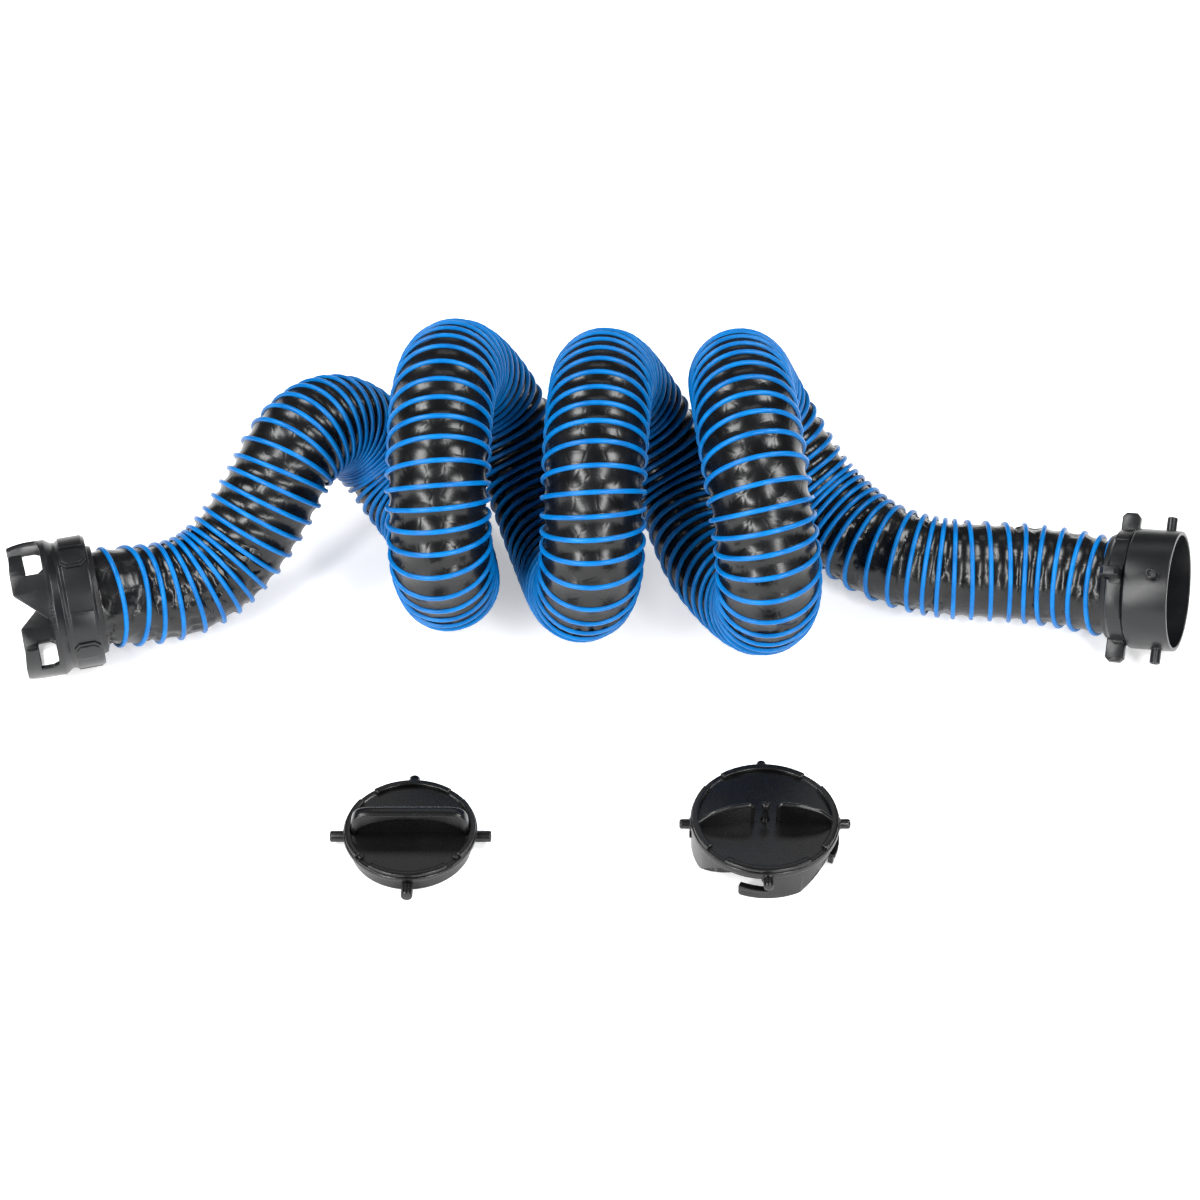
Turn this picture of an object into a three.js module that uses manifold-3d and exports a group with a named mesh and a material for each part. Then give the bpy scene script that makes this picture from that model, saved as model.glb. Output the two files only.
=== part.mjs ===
// Sewer hose kit: a coiled corrugated hose with a swivelling bayonet ring at its left end, a swivelling
// lug fitting at its right end, and two loose caps that lie in front of it. Millimetres, +Z up,
// floor at z = 0.
import * as THREE from 'three';
import { mergeVertices } from 'three/addons/utils/BufferGeometryUtils.js';
import Module from 'manifold-3d';

const wasm = await Module();
wasm.setup();

// ---- driving dimensions (mm, degrees) ----
const GAP = 0.3; // clearance between touching pieces
const QUARTERS = [0, 90, 180, 270]; // the fittings and caps repeat four times round
const ROUND = 48; // segments round the large mouldings
const ROUND_SMALL = 36; // segments round cuffs and seals

const HOSE = { r: 43.5, boreR: 38, sides: 12, steps: 80, straight: 12 };

// Bayonet ring: collar at the rear, narrow waist, then the band that carries the hooks.
const RING = {
  len: 65, r: 57.5, boreR: 53.5, boreFrom: 32.5,
  collarR: 55, collarLen: 25, collarBevel: 2, waistLen: 3, flareLen: 7,
  rearBoreR: 49.6, rearWall: 6, chamberR: 51.5, chamberTo: 22, neckR: 50.6,
  turn: -34, // where the first hook's base starts, from the local +X axis
};
// Hooks are measured from the start of each hook's base; the slant leads the mating pin in.
const RING_HOOK = { depth: 27, fingerLen: 12, baseDeg: 16, fingerDeg: 41, slantDeg: 64, slantTopDeg: 90 };
// Hexagonal bosses on the collar, one behind each finger.
const BOSS = { fromDeg: 14, toDeg: 35, cornerDeg: 4, low: 2.5, high: 22.5, corner: 3.5, height: 2.6 };
const RING_CUFF = {
  r: 49.2, flangeR: 51.1, flangeFrom: 6.4, flangeTo: 14, noseR: 48, noseBoreR: 46, len: 35, back: 1,
};
const RING_SEAL = { innerR: 48.4, outerR: 53.1, from: 32.8, seat: 36.4, to: 37.6 }; // on the bore's floor

// Lug fitting: collar with wing tabs at the rear, barrel with pins in front of it.
const BARREL = { r: 51, boreR: 47.5, throatR: 44.5, len: 38.8, shoulder: 2.5, wall: 4, mouthBevel: 0.8 };
const COLLAR = { r: 47.6, boreR: 44.5, len: 14.7, bevel: 1.6, back: 0.6 };
const LUG_TURN = 38; // direction of the first pin and tab, from the local +X axis
const PIN = { r: 4.4, tipR: 63.5, fromMouth: 12.5 };
const TAB = { tipR: 65, rootR: 46, len: 16.5, thick: 8, bevel: 3.2, proud: 0.8 };
const LUG_CUFF = { r: 43.9, noseBoreR: 40, len: 19.6, taper: 3.6, back: 0.6 };
const LUG_SEAL = { innerR: 40.4, outerR: 46.6, from: 19.9, to: 24 };

// Pin cap: disc and skirt, four pins, rim arcs and one scooped grip bar on a thick foot.
const PIN_CAP = { discR: 53, skirtR: 48.5, skirtWall: 3.5, h: 17, discThick: 4.5, rimH: 2, rimWide: 3.5 };
const PIN_CAP_PIN = { r: 4.6, tipR: 64, below: 8 };
const GRIP = { half: 47, h: 22, thick: 10, footThick: 15, footH: 5 };
const PIN_CAP_GASKET = { innerR: 39.5, outerR: 44.7, from: 9, to: 12.2 };

// Hook cap: disc, deep skirt cut into four hooks, four pins, two grip blades and a post.
const HOOK_CAP = {
  discR: 59, skirtR: 57.8, boreR: 53.5, h: 31, discThick: 5, rimH: 2, rimWide: 2.5, turn: 72,
};
const HOOK_CAP_HOOK = { depth: 22, fingerLen: 10, baseDeg: 16, fingerDeg: 41, slantDeg: 60, slantTopDeg: 80 };
const HOOK_CAP_PIN = { r: 4, tipR: 67.5, below: 5.6, sides: 12 };
const BLADE = { innerR: 9, outerR: 54, thick: 4, h: 17.7, directions: [-4, 187] };
const POST = { r: 3.2, h: 18.2 };
const HOOK_CAP_GASKET = { innerR: 44, outerR: 53.2, from: 20, to: 23.7 };
const RIM_GAP = { from: 38, to: 52 }; // the rim arcs of both caps stop here, in each quarter

const COLOURS = {
  film: 0x2f3337, cuff: 0x1c1d1f, ring: 0x373a3d, lug: 0x434446, cap: 0x1b1c1d, seal: 0x141414,
};
const ROUGHNESS = { film: 0.45, moulding: 0.42, cap: 0.38, seal: 0.7 };

// ---- where things lie (mm) ----
const SHIFT = [-2.1, 98.9, 0]; // puts the middle of the kit's footprint on the origin
const RING_REAR = [-425.5, -66, 59.8];
const RING_AXIS = [-0.964, -0.266, 0];
const LUG_REAR = [438.5, -42.6, 53.5];
const LUG_AXIS = [0.915, -0.347, 0.207];
const PCAP_AT = [-150, -290, 0];
const HCAP_AT = [130, -290, 0];

// Hose centreline: the left strand, three turns of a flattened corkscrew, the right strand.
const LEFT_STRAND = [
  [-386, -50, 51], [-358, -37, 47], [-334, -22, 51], [-315, -5, 62], [-298, 11, 79.5], [-281, 30, 101],
  [-265, 53, 122], [-247, 77, 128], [-229, 98, 119], [-212, 110, 99], [-196, 111, 77], [-180, 100, 58],
  [-165, 83, 47.5], [-151, 61, 44.6], [-141, 31, 44.6], [-132, -8, 46.5],
];
const TURNS = [
  { yc: 18.5, zc: 127, ry: 100, rz: 82, x: [-128, -131, -132, -130, -121, -95, -62, -36] },
  { yc: 5.4, zc: 127, ry: 100, rz: 82, x: [-16, -7, -5, -1, 6, 31, 70, 97] },
  { yc: -8.7, zc: 131, ry: 105, rz: 86, x: [134, 137, 128, 119, 119, 141, 184] },
];
const TURN_START_DEG = 225;
const TURN_STEP_DEG = -45;
const RIGHT_STRAND = [
  [208, 44, 55], [233, 21, 47], [262, 3, 45], [295, -8, 44.6], [332, -12, 44.6], [368, -16, 45],
  [401, -26.5, 48],
];

// ---- helpers ----
const vec = (a) => new THREE.Vector3(a[0], a[1], a[2]);
const rad = (d) => (d * Math.PI) / 180;

function toSolid(geometry) {
  const g = geometry.index ? geometry.toNonIndexed() : geometry.clone();
  for (const name of Object.keys(g.attributes)) if (name !== 'position') g.deleteAttribute(name);
  const m = mergeVertices(g, 1e-4);
  const mesh = new wasm.Mesh({
    numProp: 3,
    vertProperties: new Float32Array(m.attributes.position.array),
    triVerts: new Uint32Array(m.index.array),
  });
  mesh.merge();
  return new wasm.Manifold(mesh);
}

function toGeometry(solid) {
  const mesh = solid.getMesh();
  const g = new THREE.BufferGeometry();
  g.setAttribute('position', new THREE.BufferAttribute(new Float32Array(mesh.vertProperties), 3));
  g.setIndex(new THREE.BufferAttribute(new Uint32Array(mesh.triVerts), 1));
  g.computeVertexNormals();
  return g;
}

// A turned ring: closed profile of [radius, height] pairs, anticlockwise, round the Z axis.
function turned(profile, segments = ROUND) {
  const pts = [...profile, profile[0]].map(([r, z]) => new THREE.Vector2(r, z));
  return new THREE.LatheGeometry(pts, segments).rotateX(Math.PI / 2);
}

// A turned solid: profile that starts and ends on the axis.
function turnedSolid(profile, segments = ROUND) {
  const points = profile.map(([r, z]) => new THREE.Vector2(r, z));
  return new THREE.LatheGeometry(points, segments).rotateX(Math.PI / 2);
}

// A curved wall piece given by [degree, height] corners on a band from r0 to r1.
function sector(corners, r0, r1, step = 5) {
  const dense = [];
  corners.forEach(([a, z], i) => {
    const [b, w] = corners[(i + 1) % corners.length];
    const n = Math.max(1, Math.ceil(Math.abs(b - a) / step));
    for (let k = 0; k < n; k += 1) dense.push([a + ((b - a) * k) / n, z + ((w - z) * k) / n]);
  });
  const shape = new THREE.Shape(dense.map(([a, z]) => new THREE.Vector2(a, z)));
  const g = new THREE.ExtrudeGeometry(shape, { depth: r1 - r0, bevelEnabled: false, steps: 1 });
  const p = g.attributes.position;
  for (let i = 0; i < p.count; i += 1) {
    const a = rad(p.getX(i));
    const z = p.getY(i);
    const r = r0 + p.getZ(i);
    p.setXYZ(i, r * Math.cos(a), r * Math.sin(a), z);
  }
  return g;
}

// A rod along +X from r0 to r1 at a height, turned to an angle.
function rod(radius, r0, r1, z, deg, sides = 16) {
  return new THREE.CylinderGeometry(radius, radius, r1 - r0, sides)
    .rotateZ(-Math.PI / 2).translate((r0 + r1) / 2, 0, z).rotateZ(rad(deg));
}

// A flat plate in the X-Z plane (outline [x, z]), thickness across Y, turned to an angle.
function plate(outline, thickness, deg) {
  const shape = new THREE.Shape(outline.map(([x, z]) => new THREE.Vector2(x, z)));
  return new THREE.ExtrudeGeometry(shape, { depth: thickness, bevelEnabled: false, steps: 1 })
    .translate(0, 0, -thickness / 2).rotateX(Math.PI / 2).rotateZ(rad(deg));
}

// The open slot between two hooks: wide lead-in with one slanted edge, and the window behind the finger.
function hookSlot(start, hook, top, r0, r1) {
  const deep = top - hook.depth;
  const roof = top - hook.fingerLen;
  const over = top + 1; // past the edge, for a clean cut
  const fillet = 3;
  return toSolid(sector([
    [start + hook.slantTopDeg, over], [start + hook.slantDeg, deep], [start + hook.baseDeg + fillet, deep],
    [start + hook.baseDeg, deep + fillet], [start + hook.baseDeg, roof], [start + hook.fingerDeg, roof],
    [start + hook.fingerDeg, over],
  ], r0, r1));
}

// The rectangular gaps between a cap's rim arcs.
function rimGap(quarter, floor, discR) {
  return toSolid(sector([
    [quarter + RIM_GAP.from, floor], [quarter + RIM_GAP.to, floor],
    [quarter + RIM_GAP.to, floor + 4], [quarter + RIM_GAP.from, floor + 4],
  ], discR - 6, discR + 2));
}

// A seal ring of rectangular section.
const sealRing = (s) => turned([
  [s.innerR, s.from], [s.outerR, s.from], [s.outerR, s.to], [s.innerR, s.to],
], ROUND_SMALL);

// The frame of a fitting: its axis along local +Z, local +X level and pointing to the rear of the kit.
function fittingFrame(origin, axis) {
  const z = vec(axis).normalize();
  const x = new THREE.Vector3(0, 0, 1).cross(z).normalize();
  const y = z.clone().cross(x);
  const m = new THREE.Matrix4().makeBasis(x, y, z);
  m.setPosition(vec(origin).add(vec(SHIFT)));
  return m;
}

const at = (p) => new THREE.Matrix4().makeTranslation(p[0] + SHIFT[0], p[1] + SHIFT[1], p[2] + SHIFT[2]);

// ---- hose ----
function routePoints() {
  const pts = [vec(RING_REAR), vec(RING_REAR).addScaledVector(vec(RING_AXIS), -HOSE.straight)];
  LEFT_STRAND.forEach((p) => pts.push(vec(p)));
  TURNS.forEach((t) => t.x.forEach((x, i) => {
    const a = rad(TURN_START_DEG + TURN_STEP_DEG * i);
    pts.push(new THREE.Vector3(x, t.yc + t.ry * Math.cos(a), t.zc + t.rz * Math.sin(a)));
  }));
  RIGHT_STRAND.forEach((p) => pts.push(vec(p)));
  pts.push(vec(LUG_REAR).addScaledVector(vec(LUG_AXIS), -HOSE.straight), vec(LUG_REAR));
  return pts.map((p) => p.add(vec(SHIFT)));
}

function hoseTube() {
  const route = new THREE.CatmullRomCurve3(routePoints(), false, 'centripetal');
  const circle = new THREE.Shape();
  for (let i = 0; i < HOSE.sides; i += 1) {
    const a = (2 * Math.PI * i) / HOSE.sides;
    const p = [HOSE.r * Math.cos(a), HOSE.r * Math.sin(a)];
    if (i) circle.lineTo(...p); else circle.moveTo(...p);
  }
  circle.closePath();
  return new THREE.ExtrudeGeometry(circle, { steps: HOSE.steps, bevelEnabled: false, extrudePath: route });
}

// ---- left end ----
function bayonetRing() {
  const waistR = RING.collarR - RING.collarBevel;
  const waistEnd = RING.collarLen + RING.waistLen;
  let body = toSolid(turned([
    [RING.rearBoreR, 0], [RING.collarR, 0], [RING.collarR, RING.collarLen - RING.collarBevel],
    [waistR, RING.collarLen], [waistR, waistEnd], [RING.r, waistEnd + RING.flareLen], [RING.r, RING.len],
    [RING.boreR, RING.len], [RING.boreR, RING.boreFrom], [RING.neckR, RING.boreFrom],
    [RING.neckR, RING.chamberTo + 1.5], [RING.chamberR, RING.chamberTo],
    [RING.chamberR, RING.rearWall], [RING.rearBoreR, RING.rearWall],
  ]));
  const lowCorner = BOSS.low + BOSS.corner;
  const highCorner = BOSS.high - BOSS.corner;
  for (const start of QUARTERS) {
    body = body.subtract(hookSlot(start, RING_HOOK, RING.len, RING.boreR - 4, RING.r + 4));
    const from = start + BOSS.fromDeg;
    const to = start + BOSS.toDeg;
    body = body.add(toSolid(sector([
      [from, lowCorner], [from + BOSS.cornerDeg, BOSS.low], [to - BOSS.cornerDeg, BOSS.low], [to, lowCorner],
      [to, highCorner], [to - BOSS.cornerDeg, BOSS.high], [from + BOSS.cornerDeg, BOSS.high],
      [from, highCorner],
    ], RING.collarR - 1, RING.collarR + BOSS.height)));
  }
  return toGeometry(body.rotate([0, 0, RING.turn]));
}

function bayonetCuff() {
  const c = RING_CUFF;
  return turned([
    [HOSE.boreR, c.back], [c.r, c.back], [c.r, c.flangeFrom], [c.flangeR, c.flangeFrom],
    [c.flangeR, c.flangeTo],
    [c.noseR, c.flangeTo + 2], [c.noseR, c.len], [c.noseBoreR, c.len], [c.noseBoreR, c.flangeTo + 6],
    [HOSE.boreR, c.flangeTo + 2],
  ], ROUND_SMALL);
}

function bayonetSeal() {
  const s = RING_SEAL;
  return turned([[s.innerR, s.from], [s.outerR, s.from], [s.outerR, s.seat], [s.innerR, s.to]], ROUND_SMALL);
}

// ---- right end ----
function lugBarrel() {
  const rear = COLLAR.len + GAP;
  const mouth = COLLAR.len + BARREL.len;
  let body = toSolid(turned([
    [BARREL.throatR, rear], [COLLAR.r, rear], [BARREL.r, rear + BARREL.shoulder],
    [BARREL.r, mouth - BARREL.mouthBevel],
    [BARREL.r - BARREL.mouthBevel, mouth], [BARREL.boreR, mouth], [BARREL.boreR, rear + BARREL.wall],
    [BARREL.throatR, rear + BARREL.wall],
  ]));
  for (const quarter of QUARTERS) {
    const pin = rod(PIN.r, BARREL.boreR + 1.6, PIN.tipR, mouth - PIN.fromMouth, LUG_TURN + quarter);
    body = body.add(toSolid(pin));
  }
  return toGeometry(body);
}

function lugCollar() {
  let body = toSolid(turned([
    [COLLAR.boreR, COLLAR.back], [COLLAR.r - COLLAR.bevel, COLLAR.back], [COLLAR.r, COLLAR.back + 2.4],
    [COLLAR.r, COLLAR.len], [COLLAR.boreR, COLLAR.len],
  ]));
  const low = COLLAR.len - TAB.len + TAB.proud;
  const side = TAB.tipR - TAB.bevel;
  const outline = [
    [TAB.rootR, low], [side, low], [TAB.tipR, low + TAB.bevel], [TAB.tipR, COLLAR.len - TAB.bevel],
    [side, COLLAR.len], [TAB.rootR, COLLAR.len],
  ];
  for (const quarter of QUARTERS) body = body.add(toSolid(plate(outline, TAB.thick, LUG_TURN + quarter)));
  return toGeometry(body);
}

const lugCuff = () => turned([
  [HOSE.boreR, LUG_CUFF.back], [LUG_CUFF.r, LUG_CUFF.back], [LUG_CUFF.r, LUG_CUFF.len],
  [LUG_CUFF.noseBoreR, LUG_CUFF.len], [HOSE.boreR, LUG_CUFF.len - LUG_CUFF.taper],
], ROUND_SMALL);

// ---- pin cap: open side down, disc on top ----
function pinCapBody() {
  const c = PIN_CAP;
  const under = c.h - c.discThick;
  const rimTop = c.h + c.rimH;
  let body = toSolid(turnedSolid([
    [0, under], [c.skirtR - c.skirtWall, under], [c.skirtR - c.skirtWall, 0], [c.skirtR, 0],
    [c.skirtR, c.h - 5],
    [c.discR, c.h - 3], [c.discR, rimTop - 1], [c.discR - 1, rimTop], [c.discR - c.rimWide, rimTop],
    [c.discR - c.rimWide - 0.5, c.h], [0, c.h],
  ]));
  for (const quarter of QUARTERS) {
    body = body.subtract(rimGap(quarter, c.h, c.discR));
    const pin = rod(PIN_CAP_PIN.r, c.skirtR - 2, PIN_CAP_PIN.tipR, c.h - PIN_CAP_PIN.below, quarter);
    body = body.add(toSolid(pin));
  }
  const root = c.h - 0.5;
  const grip = plate([
    [-GRIP.half, root], [GRIP.half, root], [GRIP.half, c.h + 12], [GRIP.half - 3, c.h + 19],
    [GRIP.half - 9, c.h + GRIP.h],
    [9 - GRIP.half, c.h + GRIP.h], [3 - GRIP.half, c.h + 19], [-GRIP.half, c.h + 12],
  ], GRIP.thick, 0);
  const foot = plate([
    [-GRIP.half, root], [GRIP.half, root], [GRIP.half - 1, c.h + GRIP.footH],
    [1 - GRIP.half, c.h + GRIP.footH],
  ], GRIP.footThick, 0);
  return toGeometry(body.add(toSolid(grip)).add(toSolid(foot)));
}

// ---- hook cap: turned with its open side up, then tipped over ----
function hookCapBody() {
  const c = HOOK_CAP;
  const deep = c.h - c.rimH - 2; // height of the open edge over the disc's inner side
  let body = toSolid(turnedSolid([
    [0, -2], [c.discR - c.rimWide - 1.5, -2], [c.discR - c.rimWide - 1, -4], [c.discR - 1, -4], [c.discR, -3],
    [c.discR, 1.5], [c.skirtR, 3], [c.skirtR, deep], [c.boreR, deep], [c.boreR, c.discThick - 2],
    [0, c.discThick - 2],
  ]));
  for (const quarter of QUARTERS) {
    body = body.subtract(hookSlot(c.turn + quarter, HOOK_CAP_HOOK, deep, c.boreR - 4, c.discR + 4));
  }
  body = body.rotate([180, 0, 0]).translate([0, 0, deep]);
  const top = c.h - c.rimH;
  for (const quarter of QUARTERS) {
    const low = top - HOOK_CAP_PIN.below;
    const pin = rod(HOOK_CAP_PIN.r, c.boreR + 1.5, HOOK_CAP_PIN.tipR, low, quarter, HOOK_CAP_PIN.sides);
    body = body.subtract(rimGap(quarter, top, c.discR)).add(toSolid(pin));
  }
  const root = top - 0.5;
  const blade = [
    [BLADE.innerR, root], [BLADE.outerR, root], [BLADE.outerR - 1, top + 3], [47, top + 9],
    [38, top + 14], [28, top + 17],
    [BLADE.innerR, top + BLADE.h],
  ];
  for (const direction of BLADE.directions) body = body.add(toSolid(plate(blade, BLADE.thick, direction)));
  const post = turnedSolid([
    [0, root], [POST.r, root], [POST.r - 0.4, top + POST.h - 2.2], [POST.r - 1.2, top + POST.h - 0.6],
    [0, top + POST.h],
  ], HOOK_CAP_PIN.sides);
  return toGeometry(body.add(toSolid(post)));
}

// ---- assembly ----
const kit = new THREE.Group();
kit.name = 'sewer_hose_kit';

function addPiece(name, geometry, matrix, color, roughness) {
  const mesh = new THREE.Mesh(geometry, new THREE.MeshStandardMaterial({ color, roughness, metalness: 0 }));
  mesh.name = name;
  mesh.applyMatrix4(matrix);
  kit.add(mesh);
}

const laid = new THREE.Matrix4(); // the hose's route is already in the kit's frame
const ringFrame = fittingFrame(RING_REAR, RING_AXIS);
const lugFrame = fittingFrame(LUG_REAR, LUG_AXIS);
const pinCapFrame = at(PCAP_AT);
const hookCapFrame = at(HCAP_AT);

addPiece('hose_tube', hoseTube(), laid, COLOURS.film, ROUGHNESS.film);
addPiece('bayonet_cuff', bayonetCuff(), ringFrame, COLOURS.cuff, ROUGHNESS.moulding);
addPiece('bayonet_ring', bayonetRing(), ringFrame, COLOURS.ring, ROUGHNESS.moulding);
addPiece('bayonet_seal', bayonetSeal(), ringFrame, COLOURS.seal, ROUGHNESS.seal);
addPiece('lug_cuff', lugCuff(), lugFrame, COLOURS.cuff, ROUGHNESS.moulding);
addPiece('lug_collar', lugCollar(), lugFrame, COLOURS.lug, ROUGHNESS.moulding);
addPiece('lug_barrel', lugBarrel(), lugFrame, COLOURS.lug, ROUGHNESS.moulding);
addPiece('lug_seal', sealRing(LUG_SEAL), lugFrame, COLOURS.seal, ROUGHNESS.seal);
addPiece('pin_cap_body', pinCapBody(), pinCapFrame, COLOURS.cap, ROUGHNESS.cap);
addPiece('pin_cap_gasket', sealRing(PIN_CAP_GASKET), pinCapFrame, COLOURS.seal, ROUGHNESS.seal);
addPiece('hook_cap_body', hookCapBody(), hookCapFrame, COLOURS.cap, ROUGHNESS.cap);
addPiece('hook_cap_gasket', sealRing(HOOK_CAP_GASKET), hookCapFrame, COLOURS.seal, ROUGHNESS.seal);

export default kit;
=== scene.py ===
"""Sewer hose kit: a coiled corrugated hose with a bayonet ring, a lug fitting and two loose caps.

Sizes are in millimetres until a mesh is made; the scene itself is in metres, with +Z up and the floor
at z = 0.
"""

from __future__ import annotations

import logging
import math
from dataclasses import dataclass, field
from enum import Enum
from typing import Any, Iterable, Sequence

import bmesh
import bpy
import numpy as np
from mathutils import Matrix, Vector

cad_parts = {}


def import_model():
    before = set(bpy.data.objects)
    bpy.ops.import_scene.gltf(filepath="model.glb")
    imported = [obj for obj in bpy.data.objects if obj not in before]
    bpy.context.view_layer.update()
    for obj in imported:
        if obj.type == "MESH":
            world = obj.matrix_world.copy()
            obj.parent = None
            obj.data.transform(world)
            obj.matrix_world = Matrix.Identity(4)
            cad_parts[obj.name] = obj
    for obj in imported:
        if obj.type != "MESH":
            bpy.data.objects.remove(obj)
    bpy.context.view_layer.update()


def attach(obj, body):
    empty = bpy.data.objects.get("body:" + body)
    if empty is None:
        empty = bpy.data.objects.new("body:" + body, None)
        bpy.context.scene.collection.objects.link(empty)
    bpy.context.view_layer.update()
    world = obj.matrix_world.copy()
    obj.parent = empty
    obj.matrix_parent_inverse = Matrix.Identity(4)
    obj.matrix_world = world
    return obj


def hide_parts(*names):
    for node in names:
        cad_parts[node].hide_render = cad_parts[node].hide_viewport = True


LOG = logging.getLogger("sewer_hose_kit")

MM = 0.001
TAU = 2.0 * math.pi
SHIFT = Vector((-2.1, 98.9, 0.0))
# The middle of each fitting's rear face, and the direction out of its mouth.
RING_REAR = Vector((-425.5, -66.0, 59.8))
RING_AXIS = Vector((-0.964, -0.266, 0.0)).normalized()
LUG_REAR = Vector((438.5, -42.6, 53.5))
LUG_AXIS = Vector((0.915, -0.347, 0.207)).normalized()
# The middle of each cap's foot on the floor.
PIN_CAP_AT = Vector((-150.0, -290.0, 0.0))
HOOK_CAP_AT = Vector((130.0, -290.0, 0.0))
QUARTERS = tuple(range(4))

QUARTER = 90.0
# Steps round the axis of turned pieces.
FINE_ROUND = 144
ROUND = 96
PIN_ROUND = 28
NUB_ROUND = 24
POST_ROUND = 32
# Samples that the centreline's bend is averaged over, and rows of each noise lattice.
BEND_WINDOW = 33
LATTICE = 512
TINY = 1e-9

Point2 = tuple[float, float]
Point3 = tuple[float, float, float]
Colour = tuple[float, float, float, float]


class Body(Enum):
    """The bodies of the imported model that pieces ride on."""

    HOSE = "hose"
    RING = "bayonet_swivel"
    LUG = "lug_swivel"
    PIN_CAP = "pin_cap"
    HOOK_CAP = "hook_cap"


class Slot(Enum):
    """The record's material slots."""

    FILM = "hose_film"
    FITTING = "fitting_grey"
    CAP = "cap_black"
    SEAL = "seal"


# ---------------------------------------------------------------------------------------------------
# Shader nodes
# ---------------------------------------------------------------------------------------------------


class Graph:
    """The node tree of one material, with short ways to add nodes to it."""

    def __init__(self, name: str) -> None:
        """Start an empty material.

        Args:
            name: The material's name.
        """
        self.material = bpy.data.materials.new(name)
        self.material.use_nodes = True
        self.tree = self.material.node_tree
        self.tree.nodes.clear()

    def add(self, kind: str, settings: dict[str, Any] | None = None, **sockets: Any) -> bpy.types.Node:
        """Add one node, set it up, then fill its sockets.

        Args:
            kind: The node's type name, without the ShaderNode prefix.
            settings: Properties of the node.
            **sockets: A value or a link for each named or numbered socket; "_" stands for a space.

        Returns:
            The new node.
        """
        node = self.tree.nodes.new("ShaderNode" + kind)
        for key, value in (settings or {}).items():
            setattr(node, key, value)
        for key, value in sockets.items():
            index: int | str = int(key[1:]) if key[0] == "i" and key[1:].isdigit() else key.replace("_", " ")
            self.feed(node.inputs[index], value)
        return node

    def feed(self, socket: bpy.types.NodeSocket, value: Any) -> None:
        """Give a socket a link or a constant.

        Args:
            socket: The input to fill.
            value: A Signal, an output socket, a number or a tuple.
        """
        if isinstance(value, Signal):
            self.tree.links.new(value.socket, socket)
        elif isinstance(value, bpy.types.NodeSocket):
            self.tree.links.new(value, socket)
        else:
            socket.default_value = value

    def signal(self, kind: str, output: str | int = 0, settings: dict[str, Any] | None = None,
               **sockets: Any) -> Signal:
        """Add a node and wrap one of its outputs.

        Args:
            kind: The node's type name, without the ShaderNode prefix.
            output: The output's name or number.
            settings: Properties of the node.
            **sockets: As in add.

        Returns:
            The wrapped output.
        """
        return Signal(self, self.add(kind, settings, **sockets).outputs[output])

    def mix(self, factor: Any, low: Any, high: Any) -> Signal:
        """Blend two colours.

        Args:
            factor: Share of the second colour.
            low: The first colour.
            high: The second colour.

        Returns:
            The blended colour.
        """
        node = self.add("Mix", {"data_type": "RGBA"}, i0=factor, i6=low, i7=high)
        return Signal(self, node.outputs[2])

    def spots(self, position: Any, scale: float, detail: float = 2.0, rough: float = 0.5) -> Signal:
        """Return cloudy noise of a given scale.

        Args:
            position: The point that the noise is read at.
            scale: Features per metre, about.
            detail: Number of finer layers.
            rough: Strength of the finer layers.

        Returns:
            A value near 0.5, from 0 to 1.
        """
        return self.signal("TexNoise", 0, Vector=position, Scale=scale, Detail=detail, Roughness=rough)

    def finish_surface(self, **sockets: Any) -> bpy.types.Material:
        """Close the material with one principled shader.

        Args:
            **sockets: Values or links for the shader's sockets.

        Returns:
            The finished material.
        """
        shader = self.add("BsdfPrincipled", None, **sockets)
        self.add("OutputMaterial", None, Surface=shader.outputs[0])
        return self.material


class Signal:
    """A socket that can be used in arithmetic; each operation adds one Math node."""

    def __init__(self, graph: Graph, socket: bpy.types.NodeSocket) -> None:
        """Wrap an output socket.

        Args:
            graph: The graph the socket belongs to.
            socket: The output socket.
        """
        self.graph = graph
        self.socket = socket

    def _math(self, operation: str, first: Any, second: Any = 0.0, clamp: bool = False) -> Signal:
        """Add a Math node.

        Args:
            operation: Its operation.
            first: Its first value.
            second: Its second value.
            clamp: True to keep the result from 0 to 1.

        Returns:
            The result.
        """
        settings = {"operation": operation, "use_clamp": clamp}
        return self.graph.signal("Math", 0, settings, i0=first, i1=second)

    def __add__(self, other: Any) -> Signal:
        """Sum."""
        return self._math("ADD", self, other)

    __radd__ = __add__

    def __mul__(self, other: Any) -> Signal:
        """Product."""
        return self._math("MULTIPLY", self, other)

    __rmul__ = __mul__

    def __sub__(self, other: Any) -> Signal:
        """Difference."""
        return self._math("SUBTRACT", self, other)

    def __rsub__(self, other: Any) -> Signal:
        """Reflected difference."""
        return self._math("SUBTRACT", other, self)

    def ramp(self, low: float, high: float) -> Signal:
        """Stretch the range from low to high over 0 to 1.

        Args:
            low: The value that becomes 0.
            high: The value that becomes 1.

        Returns:
            The clamped result.
        """
        return self._math("MULTIPLY", self - low, 1.0 / (high - low), clamp=True)


# ---------------------------------------------------------------------------------------------------
# Finishes
# ---------------------------------------------------------------------------------------------------


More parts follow.
